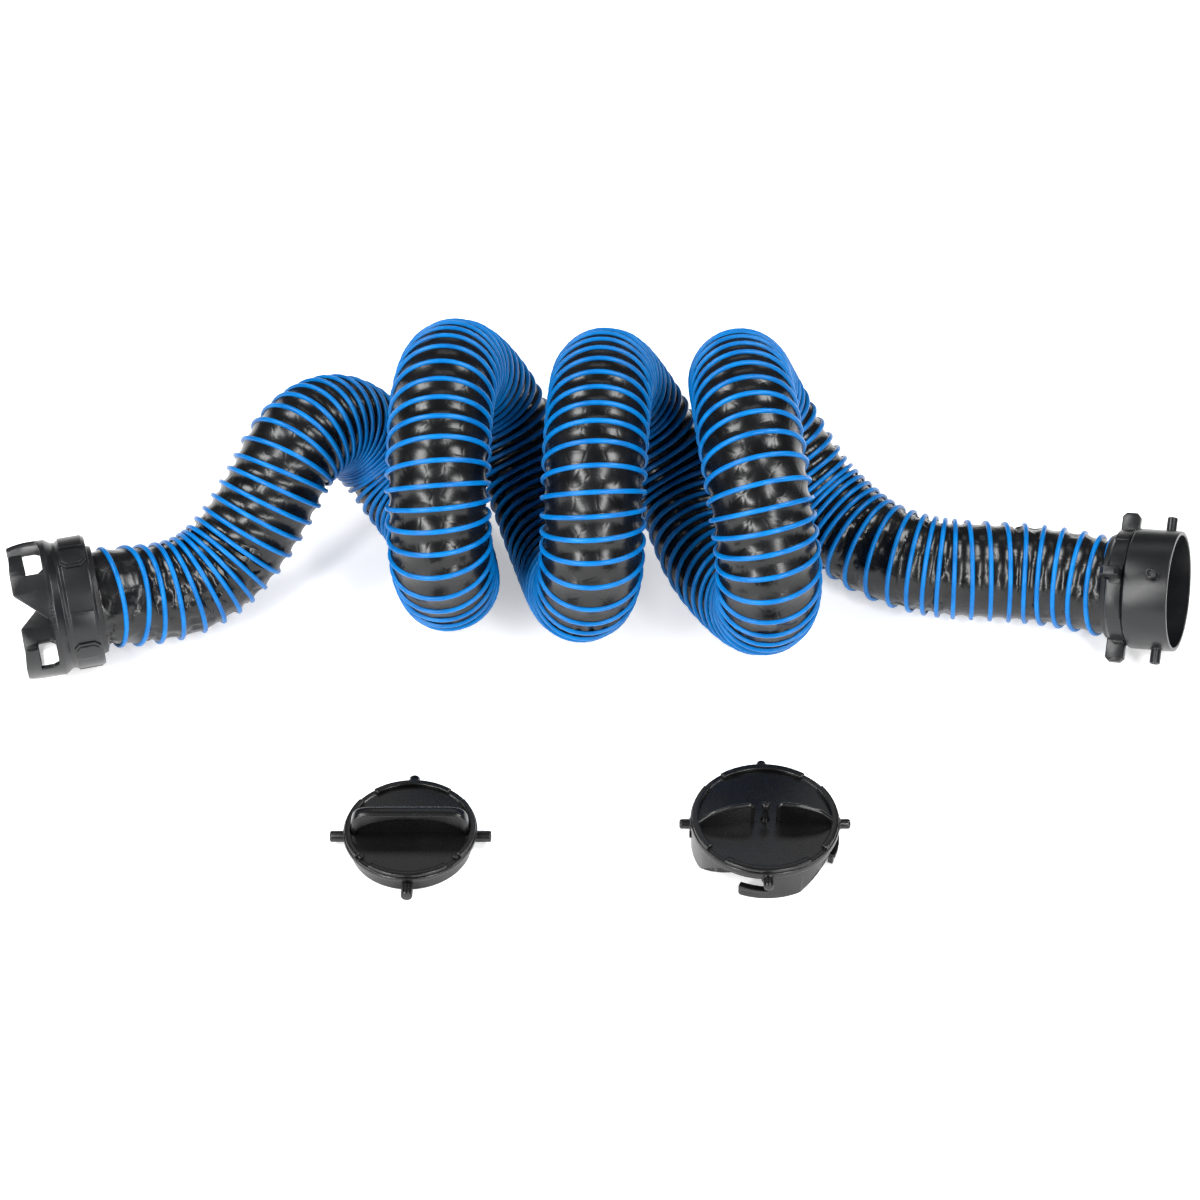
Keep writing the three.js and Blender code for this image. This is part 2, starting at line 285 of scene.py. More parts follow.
@dataclass(frozen=True)
class FilmFinish:
    """Near-black vinyl film with soft gloss, faint creases and a dusty bloom."""

    name: str = "film_black_vinyl"
    dark: Colour = (0.0016, 0.0017, 0.0021, 1.0)
    bloom: Colour = (0.0046, 0.0049, 0.0056, 1.0)
    roughness: float = 0.20
    gloss: float = 0.36
    cloud_scale: float = 38.0
    fine_scale: float = 420.0
    crease_scale: float = 70.0
    bloom_range: Point2 = (0.35, 0.75)
    dull_range: Point2 = (0.3, 0.7)
    crease_range: Point2 = (0.0, 0.12)
    relief: float = 0.22
    relief_depth: float = 0.0012

    def build(self) -> bpy.types.Material:
        """Return the material."""
        g = Graph(self.name)
        place = g.add("TexCoord").outputs["Object"]
        cloud = g.spots(place, self.cloud_scale, 4.0, 0.55)
        fine = g.spots(place, self.fine_scale, 3.0, 0.6)
        crease = g.signal("TexVoronoi", "Distance", {"feature": "DISTANCE_TO_EDGE"},
                          Vector=place, Scale=self.crease_scale)
        colour = g.mix(cloud.ramp(*self.bloom_range), self.dark, self.bloom)
        rough = self.roughness + cloud.ramp(*self.dull_range) * 0.07 + fine * 0.04
        height = crease.ramp(*self.crease_range) * 0.35 + cloud * 0.5 + fine * 0.12
        bump = g.add("Bump", None, Strength=self.relief, Distance=self.relief_depth, Height=height)
        return g.finish_surface(Base_Color=colour, Roughness=rough, Normal=bump.outputs[0],
                                Specular_IOR_Level=self.gloss)


@dataclass(frozen=True)
class RibFinish:
    """Bright blue moulded rib, a little paler where it is rubbed."""

    name: str = "rib_bright_blue"
    deep: Colour = (0.0, 0.090, 0.30, 1.0)
    worn: Colour = (0.0, 0.150, 0.44, 1.0)
    roughness: float = 0.25
    gloss: float = 0.18
    cloud_scale: float = 55.0
    grain_scale: float = 900.0
    worn_range: Point2 = (0.3, 0.75)
    relief: float = 0.12
    relief_depth: float = 0.0004

    def build(self) -> bpy.types.Material:
        """Return the material."""
        g = Graph(self.name)
        place = g.add("TexCoord").outputs["Object"]
        cloud = g.spots(place, self.cloud_scale, 3.0, 0.6)
        grain = g.spots(place, self.grain_scale, 2.0, 0.6)
        colour = g.mix(cloud.ramp(*self.worn_range), self.deep, self.worn)
        rough = self.roughness + cloud * 0.1
        bump = g.add("Bump", None, Strength=self.relief, Distance=self.relief_depth, Height=grain)
        return g.finish_surface(Base_Color=colour, Roughness=rough, Normal=bump.outputs[0],
                                Specular_IOR_Level=self.gloss)


@dataclass(frozen=True)
class PlasticFinish:
    """Satin moulded plastic with a fine spark-eroded grain and a faint flow mottle."""

    name: str
    base: tuple[float, float, float, float]
    light: tuple[float, float, float, float]
    roughness: float
    grain: float
    sheen: float
    flow_scale: float = 26.0
    grain_scale: float = 1400.0
    scuff_scale: float = 160.0
    flow_range: Point2 = (0.3, 0.75)
    pale_range: Point2 = (0.6, 0.8)
    dull_range: Point2 = (0.55, 0.8)
    relief_depth: float = 0.0005

    def build(self) -> bpy.types.Material:
        """Return the material."""
        g = Graph(self.name)
        place = g.add("TexCoord").outputs["Object"]
        flow = g.spots(place, self.flow_scale, 4.0, 0.55)
        grain = g.spots(place, self.grain_scale, 2.0, 0.65)
        scuff = g.spots(place, self.scuff_scale, 5.0, 0.7)
        paleness = flow.ramp(*self.flow_range) * 0.6 + scuff.ramp(*self.pale_range) * 0.4
        colour = g.mix(paleness, self.base, self.light)
        rough = self.roughness + flow * 0.08 + scuff.ramp(*self.dull_range) * 0.08
        bump = g.add("Bump", None, Strength=self.grain, Distance=self.relief_depth, Height=grain + flow * 0.6)
        return g.finish_surface(Base_Color=colour, Roughness=rough, Normal=bump.outputs[0],
                                Specular_IOR_Level=self.sheen)


@dataclass(frozen=True)
class FloorFinish:
    """Plain pale studio floor."""

    name: str = "floor_pale"
    colour: Colour = (0.85, 0.85, 0.85, 1.0)
    roughness: float = 0.9
    glow_colour: Colour = (1.0, 1.0, 1.0, 1.0)
    glow: float = 0.42

    def build(self) -> bpy.types.Material:
        """Return the material."""
        return Graph(self.name).finish_surface(Base_Color=self.colour, Roughness=self.roughness,
                                               Emission_Color=self.glow_colour, Emission_Strength=self.glow)


FITTING = PlasticFinish("fitting_charcoal", (0.0042, 0.0046, 0.0053, 1.0), (0.0085, 0.0090, 0.0100, 1.0),
                        roughness=0.27, grain=0.10, sheen=0.36)
CUFF = PlasticFinish("cuff_black", (0.0040, 0.0040, 0.0044, 1.0), (0.0080, 0.0080, 0.0085, 1.0),
                     roughness=0.38, grain=0.12, sheen=0.35)
CAP = PlasticFinish("cap_black", (0.0020, 0.0020, 0.0021, 1.0), (0.0046, 0.0046, 0.0048, 1.0),
                    roughness=0.23, grain=0.04, sheen=0.38)
SEAL = PlasticFinish("seal_rubber", (0.0040, 0.0040, 0.0040, 1.0), (0.0080, 0.0080, 0.0080, 1.0),
                     roughness=0.55, grain=0.18, sheen=0.3)


@dataclass
class Palette:
    film: bpy.types.Material = field(default_factory=FilmFinish().build)
    rib: bpy.types.Material = field(default_factory=RibFinish().build)
    fitting: bpy.types.Material = field(default_factory=FITTING.build)
    cuff: bpy.types.Material = field(default_factory=CUFF.build)
    cap: bpy.types.Material = field(default_factory=CAP.build)
    seal: bpy.types.Material = field(default_factory=SEAL.build)
    floor: bpy.types.Material = field(default_factory=FloorFinish().build)


# ---------------------------------------------------------------------------------------------------
# Mesh shells
# ---------------------------------------------------------------------------------------------------


@dataclass
class Shell:
    """Points and faces of one closed skin, in millimetres."""

    points: np.ndarray
    faces: list[tuple[int, ...]]

    def moved(self, matrix: Matrix) -> Shell:
        """Return the shell carried by a matrix.

        Args:
            matrix: The 4 x 4 matrix, in millimetres.

        Returns:
            The moved shell.
        """
        m = np.array(matrix)
        return Shell(self.points @ m[:3, :3].T + m[:3, 3], self.faces)

    def turned(self, degrees: float) -> Shell:
        """Return the shell turned about the Z axis.

        Args:
            degrees: The angle.

        Returns:
            The turned shell.
        """
        return self.moved(Matrix.Rotation(math.radians(degrees), 4, "Z"))


def unit(rows: np.ndarray) -> np.ndarray:
    """Return rows of vectors scaled to length 1."""
    return rows / np.linalg.norm(rows, axis=1)[:, None]


def run_along(points: np.ndarray) -> np.ndarray:
    """Return the distance run at each point of a line."""
    return np.concatenate([[0.0], np.cumsum(np.linalg.norm(np.diff(points, axis=0), axis=1))])


def window(size: int) -> np.ndarray:
    """Return bell-shaped weights that add up to 1."""
    weight = np.hanning(size)
    return weight / weight.sum()


def rounded(corners: Sequence[Point3], closed: bool = True, steps: int = 5) -> list[Point2]:
    """Round the corners of an outline.

    Args:
        corners: x, y and fillet radius of each corner.
        closed: True if the outline closes on itself.
        steps: Pieces of each fillet.

    Returns:
        The outline's points.
    """
    out: list[Point2] = []
    count = len(corners)
    for i, (x, y, radius) in enumerate(corners):
        here = np.array((x, y))
        if radius <= 0 or (not closed and i in (0, count - 1)):
            out.append((x, y))
            continue
        before = np.array(corners[i - 1][:2]) - here
        after = np.array(corners[(i + 1) % count][:2]) - here
        len_a, len_b = np.linalg.norm(before), np.linalg.norm(after)
        da, db = before / len_a, after / len_b
        half = math.acos(max(-1.0, min(1.0, float(da @ db)))) / 2
        reach = min(radius / math.tan(half), 0.48 * len_a, 0.48 * len_b)
        r = reach * math.tan(half)
        centre = here + (da + db) / np.linalg.norm(da + db) * (r / math.sin(half))
        start, end = here + da * reach - centre, here + db * reach - centre
        a0 = math.atan2(start[1], start[0])
        sweep = (math.atan2(end[1], end[0]) - a0 + math.pi) % TAU - math.pi
        for k in range(steps + 1):
            a = a0 + sweep * k / steps
            out.append((centre[0] + r * math.cos(a), centre[1] + r * math.sin(a)))
    return out


def swept_faces(rings: int, around: int, close_rings: bool,
                close_around: bool = True) -> list[tuple[int, ...]]:
    """Return the quads between neighbouring rings of points.

    Args:
        rings: Number of rings.
        around: Points in a ring.
        close_rings: True if the last ring joins the first.
        close_around: True if each ring closes on itself.

    Returns:
        The faces.
    """
    n = rings if close_rings else rings - 1
    m = around if close_around else around - 1
    i, j = np.meshgrid(np.arange(n), np.arange(m), indexing="ij")
    i2, j2 = (i + 1) % rings, (j + 1) % around
    quads = np.stack([i * around + j, i2 * around + j, i2 * around + j2, i * around + j2], -1).reshape(-1, 4)
    return [tuple(q) for q in quads.tolist()]


def tube_of(rings: np.ndarray) -> Shell:
    """Join rings of points into a tube closed by a flat face at each end.

    Args:
        rings: The points, by ring and place in the ring.

    Returns:
        The tube.
    """
    count, around = rings.shape[:2]
    faces = swept_faces(count, around, False)
    faces += [tuple(reversed(range(around))), tuple(range((count - 1) * around, count * around))]
    return Shell(rings.reshape(-1, 3), faces)


def turned_points(profile: np.ndarray, segments: int) -> np.ndarray:
    """Return an outline's points at each step round the Z axis.

    Args:
        profile: Radius and height of each point.
        segments: Steps round the axis.

    Returns:
        The points, step after step.
    """
    a = np.arange(segments) / segments * TAU
    return np.stack([
        np.cos(a)[:, None] * profile[None, :, 0],
        np.sin(a)[:, None] * profile[None, :, 0],
        np.broadcast_to(profile[None, :, 1], (segments, len(profile))),
    ], -1).reshape(-1, 3)


def ring_of(profile: Sequence[Point2], segments: int = ROUND) -> Shell:
    """Turn a closed outline of radius and height round the Z axis.

    Args:
        profile: The outline, anticlockwise.
        segments: Steps round the axis.

    Returns:
        The ring.
    """
    return Shell(turned_points(np.array(profile), segments), swept_faces(segments, len(profile), True))


def solid_of(profile: Sequence[Point2], segments: int = FINE_ROUND) -> Shell:
    """Turn an open outline that starts and ends on the Z axis into a solid.

    Args:
        profile: The outline, from the lower point on the axis to the upper one.
        segments: Steps round the axis.

    Returns:
        The solid.
    """
    pts = turned_points(np.array(profile[1:-1]), segments)
    n = len(profile) - 2
    faces = swept_faces(segments, n, True, False)
    low, high = len(pts), len(pts) + 1
    pts = np.vstack([pts, (0, 0, profile[0][1]), (0, 0, profile[-1][1])])
    for i in range(segments):
        k = (i + 1) % segments
        faces.append((low, k * n, i * n))
        faces.append((high, i * n + n - 1, k * n + n - 1))
    return Shell(pts, faces)


def offset_outline(outline: Sequence[Point2], distance: float) -> np.ndarray:
    """Shrink a closed anticlockwise outline.

    Args:
        outline: The outline's points.
        distance: How far every side moves inwards.

    Returns:
        The moved points.
    """
    p = np.array(outline)
    ahead = np.roll(p, -1, axis=0) - p
    ahead /= np.maximum(np.linalg.norm(ahead, axis=1), TINY)[:, None]
    normal = np.stack([-ahead[:, 1], ahead[:, 0]], -1)
    before = np.roll(normal, 1, axis=0)
    joint = normal + before
    joint /= np.maximum(np.linalg.norm(joint, axis=1), TINY)[:, None]
    stretch = np.clip((joint * normal).sum(1), 0.45, 1.0)
    return p + joint * (distance / stretch)[:, None]


def plate_of(outline: Sequence[Point2], low: float, high: float, edge: float = 0.6) -> Shell:
    """Make a flat plate with rounded edges from an outline.

    Args:
        outline: Points x, y, anticlockwise.
        low: Height of the lower face.
        high: Height of the upper face.
        edge: Radius of the rounded edges.

    Returns:
        The plate; its two large faces are single polygons.
    """
    edge = min(edge, 0.45 * (high - low))
    arc = [math.radians(a) for a in (0, 30, 60, 90)]
    levels = [(a, low + edge * (1 - math.cos(a))) for a in arc]
    levels += [(a, high - edge * (1 - math.cos(a))) for a in reversed(arc)]
    layers: list[np.ndarray] = []
    for a, height in levels:
        flat = offset_outline(outline, edge * (1 - math.sin(a)))
        layers.append(np.column_stack([flat, np.full(len(flat), height)]))
    n = len(outline)
    faces = [tuple(reversed(f)) for f in swept_faces(len(layers), n, False)]
    faces.append(tuple(reversed(range(n))))
    top = (len(layers) - 1) * n
    faces.append(tuple(range(top, top + n)))
    return Shell(np.vstack(layers), faces)


def wrapped(shell: Shell, radius: float, step: float = 3.0) -> Shell:
    """Bend a plate round the Z axis: its x becomes arc length, its y height and its z radius.

    Args:
        shell: The plate, with z measured from the axis.
        radius: The radius at which x keeps its length.
        step: Degrees between the cuts that let the plate bend.

    Returns:
        The bent plate.
    """
    bm = bmesh.new()
    verts = [bm.verts.new(p) for p in shell.points]
    for f in shell.faces:
        bm.faces.new([verts[i] for i in f])
    bmesh.ops.triangulate(bm, faces=[f for f in bm.faces if len(f.verts) > 4])
    lo, hi = shell.points[:, 0].min(), shell.points[:, 0].max()
    gap = math.radians(step) * radius
    for k in range(math.floor(lo / gap) + 1, math.ceil(hi / gap)):
        geom = bm.verts[:] + bm.edges[:] + bm.faces[:]
        bmesh.ops.bisect_plane(bm, geom=geom, plane_co=(k * gap, 0, 0), plane_no=(1, 0, 0), dist=1e-4)
    bm.verts.index_update()
    flat = np.array([v.co[:] for v in bm.verts])
    faces = [tuple(v.index for v in f.verts) for f in bm.faces]
    bm.free()
    a = flat[:, 0] / radius
    pts = np.column_stack([flat[:, 2] * np.cos(a), flat[:, 2] * np.sin(a), flat[:, 1]])
    return Shell(pts, faces)


def band_piece(corners: Sequence[Point3], inner: float, outer: float, edge: float = 0.6) -> Shell:
    """Make a curved wall piece.

    Args:
        corners: Degree, height and fillet radius of each corner, anticlockwise.
        inner: Inner radius of the wall.
        outer: Outer radius of the wall.
        edge: Radius of its rounded edges.

    Returns:
        The piece.
    """
    scale = math.radians(1.0) * outer
    outline = rounded([(deg * scale, z, r) for deg, z, r in corners])
    return wrapped(plate_of(outline, inner, outer, edge), outer)


def block_outline(left: float, right: float, low: float, high: float, fillet: float = 0.8) -> list[Point3]:
    """Return the four rounded corners of an upright block, anticlockwise.

    Args:
        left: Where it starts, in degrees.
        right: Where it ends, in degrees.
        low: Height of its foot.
        high: Height of its top.
        fillet: Radius of its corners.

    Returns:
        Degree, height and fillet radius of each corner.
    """
    return [(left, low, fillet), (right, low, fillet), (right, high, fillet), (left, high, fillet)]


def radial_pin(radius: float, inner: float, outer: float, height: float, degrees: float,
               tip: float = 1.2, hollow: float = 0.0) -> Shell:
    """Make a round pin that points away from the Z axis.

    Args:
        radius: The pin's radius.
        inner: Distance of its root from the axis.
        outer: Distance of its tip from the axis.
        height: Its height.
        degrees: Its direction.
        tip: Radius of the rounding at the tip.
        hollow: Radius of the blind hole in the tip, or 0.

    Returns:
        The pin.
    """
    corners = [(0.0, inner, 0.0), (radius, inner, 0.0), (radius, outer, tip)]
    floor = outer - 2.2 if hollow else outer
    if hollow:
        corners += [(hollow, outer, 0.35), (hollow * 0.92, floor, 0.3)]
    corners.append((0.0, floor, 0.0))
    pin = solid_of(rounded(corners, closed=False), PIN_ROUND)
    lay = Matrix.Rotation(math.radians(degrees), 4, "Z") @ Matrix.Translation((0, 0, height))
    return pin.moved(lay @ Matrix.Rotation(math.pi / 2, 4, "Y"))


def upright(plate: Shell, degrees: float) -> Shell:
    """Stand a plate up: its x stays, its y becomes height; then turn it about the Z axis.

    Args:
        plate: The plate.
        degrees: The turn.

    Returns:
        The standing plate.
    """
    stand = Matrix.Rotation(math.radians(degrees), 4, "Z") @ Matrix.Rotation(math.pi / 2, 4, "X")
    return plate.moved(stand)


def fitting_frame(origin: Vector, axis: Vector) -> Matrix:
    """Return the frame of a fitting, its axis along local +Z and local +X level.

    Args:
        origin: The middle of its rear face.
        axis: The direction out of its mouth.

    Returns:
        The frame, in millimetres.
    """
    side = Vector((0, 0, 1)).cross(axis).normalized()
    up = axis.cross(side)
    place = Matrix((side, up, axis)).transposed().to_4x4()
    place.translation = origin + SHIFT
    return place


class Workshop:
    """Turns shells into scene objects, attaches them to their bodies and hides the CAD nodes they replace."""

    def __init__(self, palette: Palette) -> None:
        """Keep the finishes at hand.
        """
        self.palette = palette
        self.made: list[str] = []

    def piece(self, name: str, shells: Iterable[Shell], place: Matrix, material: bpy.types.Material,
              body: Body, slot: Slot, replaces: Sequence[str] = (), sharp: float = 40.0) -> bpy.types.Object:
        """Join shells into one object that rides on a body.

        Args:
            name: The object's name.
            shells: Its skins, in millimetres.
            place: The frame they are in.
            material: Its finish.
            body: The body it rides on.
            slot: The record's material slot; not used.
            replaces: CAD nodes that it stands for.
            sharp: Edges that turn more than this, in degrees, stay crisp.

        Returns:
            The object.
        """
        points: list[np.ndarray] = []
        faces: list[tuple[int, ...]] = []
        total = 0
        for shell in shells:
            placed = shell.moved(place).points * MM
            faces += [tuple(i + total for i in f) for f in shell.faces]
            points.append(placed)
            total += len(placed)
        mesh = bpy.data.meshes.new(name)
        mesh.from_pydata(np.vstack(points).tolist(), [], faces)
        bm = bmesh.new()
        bm.from_mesh(mesh)
        bmesh.ops.recalc_face_normals(bm, faces=bm.faces)
        for edge in bm.edges:
            edge.smooth = len(edge.link_faces) == 2 and edge.calc_face_angle(0.0) < math.radians(sharp)
        for face in bm.faces:
            face.smooth = True
        bm.to_mesh(mesh)
        bm.free()
        mesh.materials.append(material)
        obj = bpy.data.objects.new(name, mesh)
        bpy.context.scene.collection.objects.link(obj)
        self.book(obj, body, replaces)
        return obj

    def book(self, obj: bpy.types.Object, body: Body, replaces: Sequence[str] = ()) -> None:
        """Attach a piece to the body it rides on and hide the CAD nodes it stands for.

        Args:
            obj: The piece.
            body: The body it rides on.
            replaces: CAD nodes that it stands for.
        """
        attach(obj, body.value)
        if replaces:
            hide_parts(*replaces)
        self.made.append(obj.name)
        LOG.info("piece %s: %d faces, on %s", obj.name, len(obj.data.polygons), body.value)


# ---------------------------------------------------------------------------------------------------
# Hose
# ---------------------------------------------------------------------------------------------------


@dataclass
class HoseTurn:
    """One turn of the coil: its centre and half-sizes across, and x at every eighth of a turn."""

    yc: float
    zc: float
    ry: float
    rz: float
    x: tuple[float, ...]


@dataclass
class HoseRoute:
    """The hose's laid centreline, in millimetres, sampled evenly with a frame at each sample."""

    left_strand: tuple[Point3, ...] = (
        (-386, -50, 51), (-358, -37, 47), (-334, -22, 51), (-315, -5, 62), (-298, 11, 79.5), (-281, 30, 101),
        (-265, 53, 122), (-247, 77, 128), (-229, 98, 119), (-212, 110, 99), (-196, 111, 77), (-180, 100, 58),
        (-165, 83, 47.5), (-151, 61, 44.6), (-141, 31, 44.6), (-132, -8, 46.5),
    )
    turns: tuple[HoseTurn, ...] = (
        HoseTurn(18.5, 127, 100, 82, (-128, -131, -132, -130, -121, -95, -62, -36)),
        HoseTurn(5.4, 127, 100, 82, (-16, -7, -5, -1, 6, 31, 70, 97)),
        HoseTurn(-8.7, 131, 105, 86, (134, 137, 128, 119, 119, 141, 184)),
    )
    turn_start: float = 225.0
    turn_step: float = -45.0
    right_strand: tuple[Point3, ...] = (
        (208, 44, 55), (233, 21, 47), (262, 3, 45), (295, -8, 44.6), (332, -12, 44.6), (368, -16, 45),
        (401, -26.5, 48),
    )
    straight: float = 12.0
    step: float = 1.0
    smoothing: int = 25

    def points(self) -> np.ndarray:
        """Return the route's points."""
        pts = [RING_REAR, RING_REAR - RING_AXIS * self.straight]
        pts += [Vector(p) for p in self.left_strand]
        for turn in self.turns:
            for i, x in enumerate(turn.x):
                a = math.radians(self.turn_start + self.turn_step * i)
                pts.append(Vector((x, turn.yc + turn.ry * math.cos(a), turn.zc + turn.rz * math.sin(a))))
        pts += [Vector(p) for p in self.right_strand]
        pts += [LUG_REAR - LUG_AXIS * self.straight, LUG_REAR]
        return np.array([(p + SHIFT)[:] for p in pts])

    @staticmethod
    def _curve(points: np.ndarray, steps: int = 24) -> np.ndarray:
        """Return a centripetal Catmull-Rom curve through the points.

        Args:
            points: The route's points.
            steps: Samples between two points.

        Returns:
            The curve's samples.
        """
        p = np.vstack([2 * points[0] - points[1], points, 2 * points[-1] - points[-2]])
        out = []
        for i in range(1, len(p) - 2):
            level = list(p[i - 1:i + 3])
            chords = np.linalg.norm(np.diff(level, axis=0), axis=1)
            knots = np.concatenate([[0.0], np.cumsum(np.sqrt(chords))])
            t = np.linspace(knots[1], knots[2], steps, endpoint=False)[:, None]
            for first, span in ((0, 1), (0, 2), (1, 1)):
                pairs = zip(level, level[1:], knots[first:], knots[first + span:])
                level = [((t1 - t) * a + (t - t0) * b) / (t1 - t0) for a, b, t0, t1 in pairs]
            out.append(level[0])
        return np.vstack([*out, points[-1:]])

    def _even(self, curve: np.ndarray) -> np.ndarray:
        """Resample a curve at even steps.

        Args:
            curve: Its samples.

        Returns:
            Samples one step apart, ends included.
        """
        run = run_along(curve)
        at = np.linspace(0.0, run[-1], int(run[-1] / self.step) + 1)
        return np.column_stack([np.interp(at, run, curve[:, k]) for k in range(3)])

    def sample(self) -> HoseLine:
        """Return the evenly sampled, lightly smoothed centreline with its frames."""
        line = self._even(self._curve(self.points()))
        half = self.smoothing // 2
        weight = np.hanning(self.smoothing + 2)[1:-1]
        weight /= weight.sum()
        padded = np.vstack([2 * line[0] - line[half:0:-1], line, 2 * line[-1] - line[-2:-half - 2:-1]])
        smooth = np.column_stack([np.convolve(padded[:, k], weight, "valid") for k in range(3)])
        return HoseLine.along(self._even(smooth))


@dataclass
class HoseLine:
    """Even samples of the centreline with a frame that doesn't twist, and the bend at each sample."""

    run: np.ndarray
    place: np.ndarray
    ahead: np.ndarray
    side: np.ndarray
    up: np.ndarray
    bend: np.ndarray

    @classmethod
    def along(cls, line: np.ndarray) -> HoseLine:
        """Work the frames out.

        Args:
            line: Evenly spaced points.

        Returns:
            The line with frames.
        """
        run = run_along(line)
        ahead = unit(np.gradient(line, axis=0))
        side = np.zeros_like(line)
        first = np.cross(ahead[0], (0.0, 0.0, 1.0))
        side[0] = first / np.linalg.norm(first)
        for i in range(1, len(line)):
            v = side[i - 1] - ahead[i] * (side[i - 1] @ ahead[i])
            side[i] = v / np.linalg.norm(v)
        up = np.cross(ahead, side)
        bend = np.gradient(ahead, axis=0) / np.gradient(run)[:, None]
        weight = window(BEND_WINDOW)
        bend = np.column_stack([np.convolve(bend[:, k], weight, "same") for k in range(3)])
        return cls(run, line, ahead, side, up, bend)

    def at(self, values: np.ndarray, where: np.ndarray) -> np.ndarray:
        """Read a column of the line at given distances.

        Args:
            values: One of the line's arrays.
            where: Distances along the line.

        Returns:
            The interpolated vectors.
        """
        flat = [np.interp(where.ravel(), self.run, values[:, k]) for k in range(3)]
        return np.column_stack(flat).reshape(*where.shape, 3)


class Ripple:
    """Smooth repeatable noise on a plane, periodic in its second coordinate."""

    def __init__(self, seed: int, across: int) -> None:
        """Fill the lattice.

        Args:
            seed: The seed of its random numbers.
            across: Lattice cells round the second coordinate.
        """
        self.across = across
        self.table = np.random.default_rng(seed).random((LATTICE, across))

    def __call__(self, u: np.ndarray, v: np.ndarray) -> np.ndarray:
        """Read the noise.

        Args:
            u: First coordinate, in cells.
            v: Second coordinate, in cells.

        Returns:
            Values from 0 to 1.
        """
        iu, iv = np.floor(u).astype(int), np.floor(v).astype(int)
        fu, fv = u - iu, v - iv
        fu, fv = fu * fu * (3 - 2 * fu), fv * fv * (3 - 2 * fv)
        a, b = iu % LATTICE, (iu + 1) % LATTICE
        c, d = iv % self.across, (iv + 1) % self.across
        low = self.table[a, c] * (1 - fv) + self.table[a, d] * fv
        high = self.table[b, c] * (1 - fv) + self.table[b, d] * fv
        return low * (1 - fu) + high * fu


